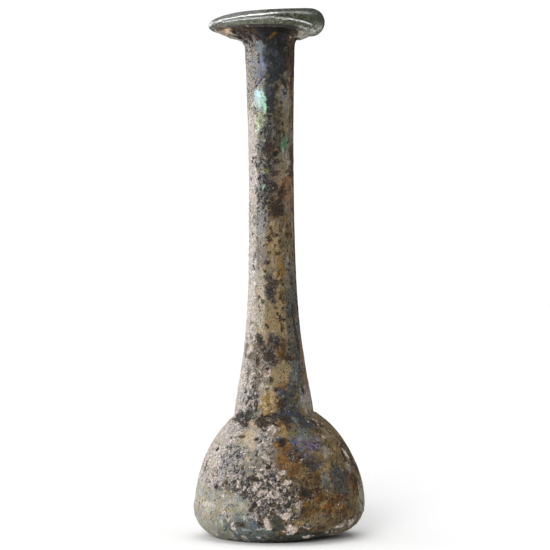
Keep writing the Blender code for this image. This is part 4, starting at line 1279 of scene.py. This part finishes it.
def crusted_glass():
    """Weathered surface: the painted colour, broken by grains and pinholes, dull on crust, sheeny on film."""
    material = bpy.data.materials.new("weathered_glass")
    n = Nodes(material)
    where, tint = n.surface()
    crust, specks, gloss, film = n.painted("layers")
    plate_mark, dark_mark, pink, plate_share = n.painted("marks")
    swing, dust = n.cloud(where, *CRUST_GRIT) - 0.5, n.cloud(where, *CRUST_DUST)
    rough_edge = swing * EDGE_GRIT

    plate = n.fit(plate_mark + rough_edge, *MARK_EDGE)
    tone = (n.cloud(where, *CRUST_LUMPS) - 0.5) * LUMP_TONE + n.fit(plate_mark, *PLATE_TONE)
    plate_colour = n.shaded(n.blend(pink, CREAM_PLATE, PINK_PLATE), tone)
    light = swing * (crust * GRIT_LIGHT_ON_CRUST + GRIT_LIGHT) + 1.0 + (dust - 0.5) * DUST_LIGHT
    colour = n.shaded(n.blend(plate * PLATE_COVERS, tint, plate_colour), light)

    thread = n.fit(abs(n.cloud(where, *CRUST_CURLS) - 0.5), *THREAD_EDGE) * specks * crust
    colour = n.blend(thread, colour, PALE_THREAD)
    speck = n.fit(specks * MOTES_MORE + MOTES_FROM - n.cloud(where, *CRUST_MOTES), *MOTE_EDGE)
    gap = n.math("MAXIMUM", n.fit(dark_mark - rough_edge, *MARK_EDGE), speck)
    # the gaps: dark soil, and partly painted shade, the colour there darkened
    soil = n.blend(SOIL_SHARE, n.blend(1.0, tint, GAP_SHADE, "MULTIPLY"), SOIL)
    colour = n.blend(gap * GAP_COVERS, colour, soil)
    pale = n.fit(n.cloud(where, *CRUST_CHAFF) + plate_share * CHAFF_MORE - CHAFF_FROM, *CHAFF_EDGE)
    colour = n.blend(pale * n.fit(plate_share, *CHAFF_COVERS), colour, PALE_CHAFF)
    holes = n.add("ShaderNodeTexVoronoi", Vector=where, Scale=PINHOLES).outputs["Distance"]
    hole = n.fit(holes, *PINHOLE_EDGE) * crust
    colour = n.blend(hole * PINHOLE_COVERS, colour, PINHOLE)

    roughness = CRUST_ROUGH - gloss * GLOSS_SMOOTHS + (dust - 0.5) * DUST_ROUGH
    height = swing * 1.6 + dust * 0.4 + plate * 0.5 - n.math("MAXIMUM", hole, gap) * 0.6
    looks = {"Base Color": colour, "Roughness": roughness, "Metallic": film * FILM_METAL, "IOR": GLASS_IOR}
    looks.update({"Specular IOR Level": CRUST_SPECULAR, "Normal": n.raised(height, *CRUST_BUMP)})
    n.finish(n.add("ShaderNodeBsdfPrincipled", **looks))
    return material


def clear_rim_glass():
    """Clear grey-green glass that lets light through, mixed with dull dirt and with painted highlights and shade
    where the layers say so.
    """
    material = bpy.data.materials.new("clear_rim_glass")
    n = Nodes(material)
    where, tint = n.surface()
    grit = n.cloud(where, *RIM_GRIT)
    share = n.fit(n.painted("layers")[0] + (grit - 0.5) * DIRT_BROKEN, *DIRT_EDGE)
    smooth = n.raised(n.cloud(where, *RIM_BUBBLES), *RIM_BUMP)
    looks = {"Base Color": tint, "Roughness": RIM_ROUGH, "IOR": GLASS_IOR, "Normal": smooth}
    looks.update({"Transmission Weight": RIM_SEE_THROUGH, "Specular IOR Level": RIM_SPECULAR})
    glass = n.add("ShaderNodeBsdfPrincipled", **looks)
    dusty = n.shaded(tint, (grit - 0.5) * DIRT_LIGHT + 1.0)
    rough = n.raised(grit, *DIRT_BUMP)
    looks = {"Base Color": dusty, "Roughness": DIRT_ROUGH, "IOR": GLASS_IOR, "Normal": rough}
    # the opaque part: dull dirt, and also the rim's painted highlights and shade
    dull_dirt_and_painted_light = n.add("ShaderNodeBsdfPrincipled", **looks)
    mixed = n.add("ShaderNodeMixShader", Fac=share)
    n.give(mixed.inputs[1], glass.outputs[0])
    n.give(mixed.inputs[2], dull_dirt_and_painted_light.outputs[0])
    n.finish(mixed)
    return material


# ---------------------------------------------------------------- studio

CAMERA_AT = (-0.0013, -0.745, 0.085)
CAMERA_LENS = 150.0
CAMERA_SENSOR = 36.0
CAMERA_NEAR = 0.01
FLOOR_HALF = 6.0
FLOOR_GREY = 0.50
ROOM_LIGHT = 0.56
ROOM_TO_LEFT = 0.85
BACKDROP_LIGHT = 1.05
# What gloss mirrors: a bright strip round the sky where z + slant . (x, y) is near its height, weaker at the
# right and behind, and gone far behind but for the left. A fade is (from, to, value at from, value at to).
STRIP_SLANT = (-0.35, 0.22)
STRIP_HEIGHT = 0.434
STRIP_EDGE = (0.28, 0.15)
STRIP_RIGHT = (0.10, 0.50, 1.0, 0.15)
STRIP_BEHIND = (0.0, 0.6, 1.0, 0.15)
STRIP_ENDS_Y = (0.4, 0.7)
STRIP_ENDS_X = (-0.45, -0.25)
STRIP_LIGHT = 16.0
SKY_MIRRORED = (0.15, 0.9, 0.05, 0.22)
SKY_THROUGH_GLASS = (-0.5, 0.6, 0.25, 0.90)
# Suns: name, strength, angle across, turn it comes from, degrees above the horizon, lights the floor only
SUNS = (
    ("front", 0.57, 40.0, -25.0, 20.0, False),
    ("floor_low", 3.3, 15.0, -8.0, 15.0, True),
    ("floor_left", 2.3, 20.0, -20.0, 20.0, True),
    ("floor_top", 2.4, 60.0, 0.0, 88.0, True),
)
# The panel at the right that the gloss shows: watts, width, height, place and the place it faces, in metres
PANEL_WATTS = 0.25
PANEL_SIZE = (0.03, 0.30)
PANEL_AT = Vector((0.55, -0.45, 0.30))
PANEL_FACES = Vector((0.0, 0.0, 0.166))


def in_scene(name, data):
    """An object of this data, put in the scene."""
    thing = bpy.data.objects.new(name, data)
    bpy.context.scene.collection.objects.link(thing)
    return thing


def pale_floor():
    """A wide matt floor of one grey, which gloss and clear glass don't show."""
    material = bpy.data.materials.new("pale_floor")
    n = Nodes(material)
    looks = {"Base Color": (*(FLOOR_GREY,) * 3, 1.0), "Roughness": 1.0, "Specular IOR Level": 0.0}
    n.finish(n.add("ShaderNodeBsdfPrincipled", **looks))
    corners = [(x * FLOOR_HALF, y * FLOOR_HALF, 0.0) for x, y in ((-1, -1), (1, -1), (1, 1), (-1, 1))]
    mesh = bpy.data.meshes.new("floor")
    mesh.from_pydata(corners, [], [(0, 1, 2, 3)])
    mesh.materials.append(material)
    floor = in_scene("floor", mesh)
    floor.visible_glossy = False
    floor.visible_transmission = False
    return floor


def room():
    """A white room, brighter at the left; gloss, clear glass and the camera each see a light of their own."""
    world = bpy.data.worlds.new("room")
    bpy.context.scene.world = world
    n = Nodes(world)
    ray = n.add("ShaderNodeLightPath").outputs
    kinds = ("Is Glossy Ray", "Is Transmission Ray", "Is Camera Ray")
    glossy, through, straight = (Value(n, ray[kind]) for kind in kinds)
    towards_sky = n.add("ShaderNodeSeparateXYZ", Vector=n.add("ShaderNodeTexCoord").outputs["Generated"])
    x, y, z = (Value(n, socket) for socket in towards_sky.outputs)
    soft = n.math("MAXIMUM", x * -ROOM_TO_LEFT, 0.0) + ROOM_LIGHT
    strip = n.fit(abs(x * STRIP_SLANT[0] + y * STRIP_SLANT[1] + z - STRIP_HEIGHT), *STRIP_EDGE)
    strip = strip * n.fit(x, *STRIP_RIGHT) * n.fit(y, *STRIP_BEHIND)
    strip = strip * (1.0 - n.fit(y, *STRIP_ENDS_Y) * n.fit(x, *STRIP_ENDS_X))
    light = soft + glossy * (strip * STRIP_LIGHT + n.fit(z, *SKY_MIRRORED) - soft)
    light = light + through * (n.fit(z, *SKY_THROUGH_GLASS) - light)
    light = light + straight * (BACKDROP_LIGHT - light)
    white = n.add("ShaderNodeBackground", Color=(1.0, 1.0, 1.0, 1.0), Strength=light)
    n.finish(white, "ShaderNodeOutputWorld")


def lamps(floor):
    """The suns, of which some light the floor only, and one small panel."""
    floor_only = bpy.data.collections.new("lit_by_the_floor_lights")
    floor_only.objects.link(floor)
    for name, power, angle, turn, raised, on_floor in SUNS:
        sun = bpy.data.lights.new(name, "SUN")
        sun.energy, sun.angle = power, np.radians(angle)
        lamp = in_scene(name, sun)
        lamp.rotation_euler = (np.radians(90.0 - raised), 0.0, np.radians(turn))
        if on_floor:
            lamp.light_linking.receiver_collection = floor_only
    panel = bpy.data.lights.new("right_panel", "AREA")
    panel.shape, panel.energy = "RECTANGLE", PANEL_WATTS
    panel.size, panel.size_y = PANEL_SIZE
    lamp = in_scene("right_panel", panel)
    lamp.location = PANEL_AT
    lamp.rotation_euler = (PANEL_FACES - PANEL_AT).to_track_quat("-Z", "Y").to_euler()


def camera():
    """A long lens in front, level with the middle of the vessel."""
    lens = bpy.data.cameras.new("camera")
    lens.lens, lens.sensor_width, lens.clip_start = CAMERA_LENS, CAMERA_SENSOR, CAMERA_NEAR
    eye = in_scene("camera", lens)
    eye.location = CAMERA_AT
    eye.rotation_euler = (np.radians(90.0), 0.0, 0.0)
    bpy.context.scene.camera = eye
    bpy.context.scene.view_settings.view_transform = "Standard"


def main():
    """The three pieces of the vessel, and the studio round them."""
    section = Section()
    body = crusted_glass()
    build_bulb(section, body)
    build_neck(section, body)
    build_rim(section, clear_rim_glass())
    floor = pale_floor()
    room()
    lamps(floor)
    camera()


main()
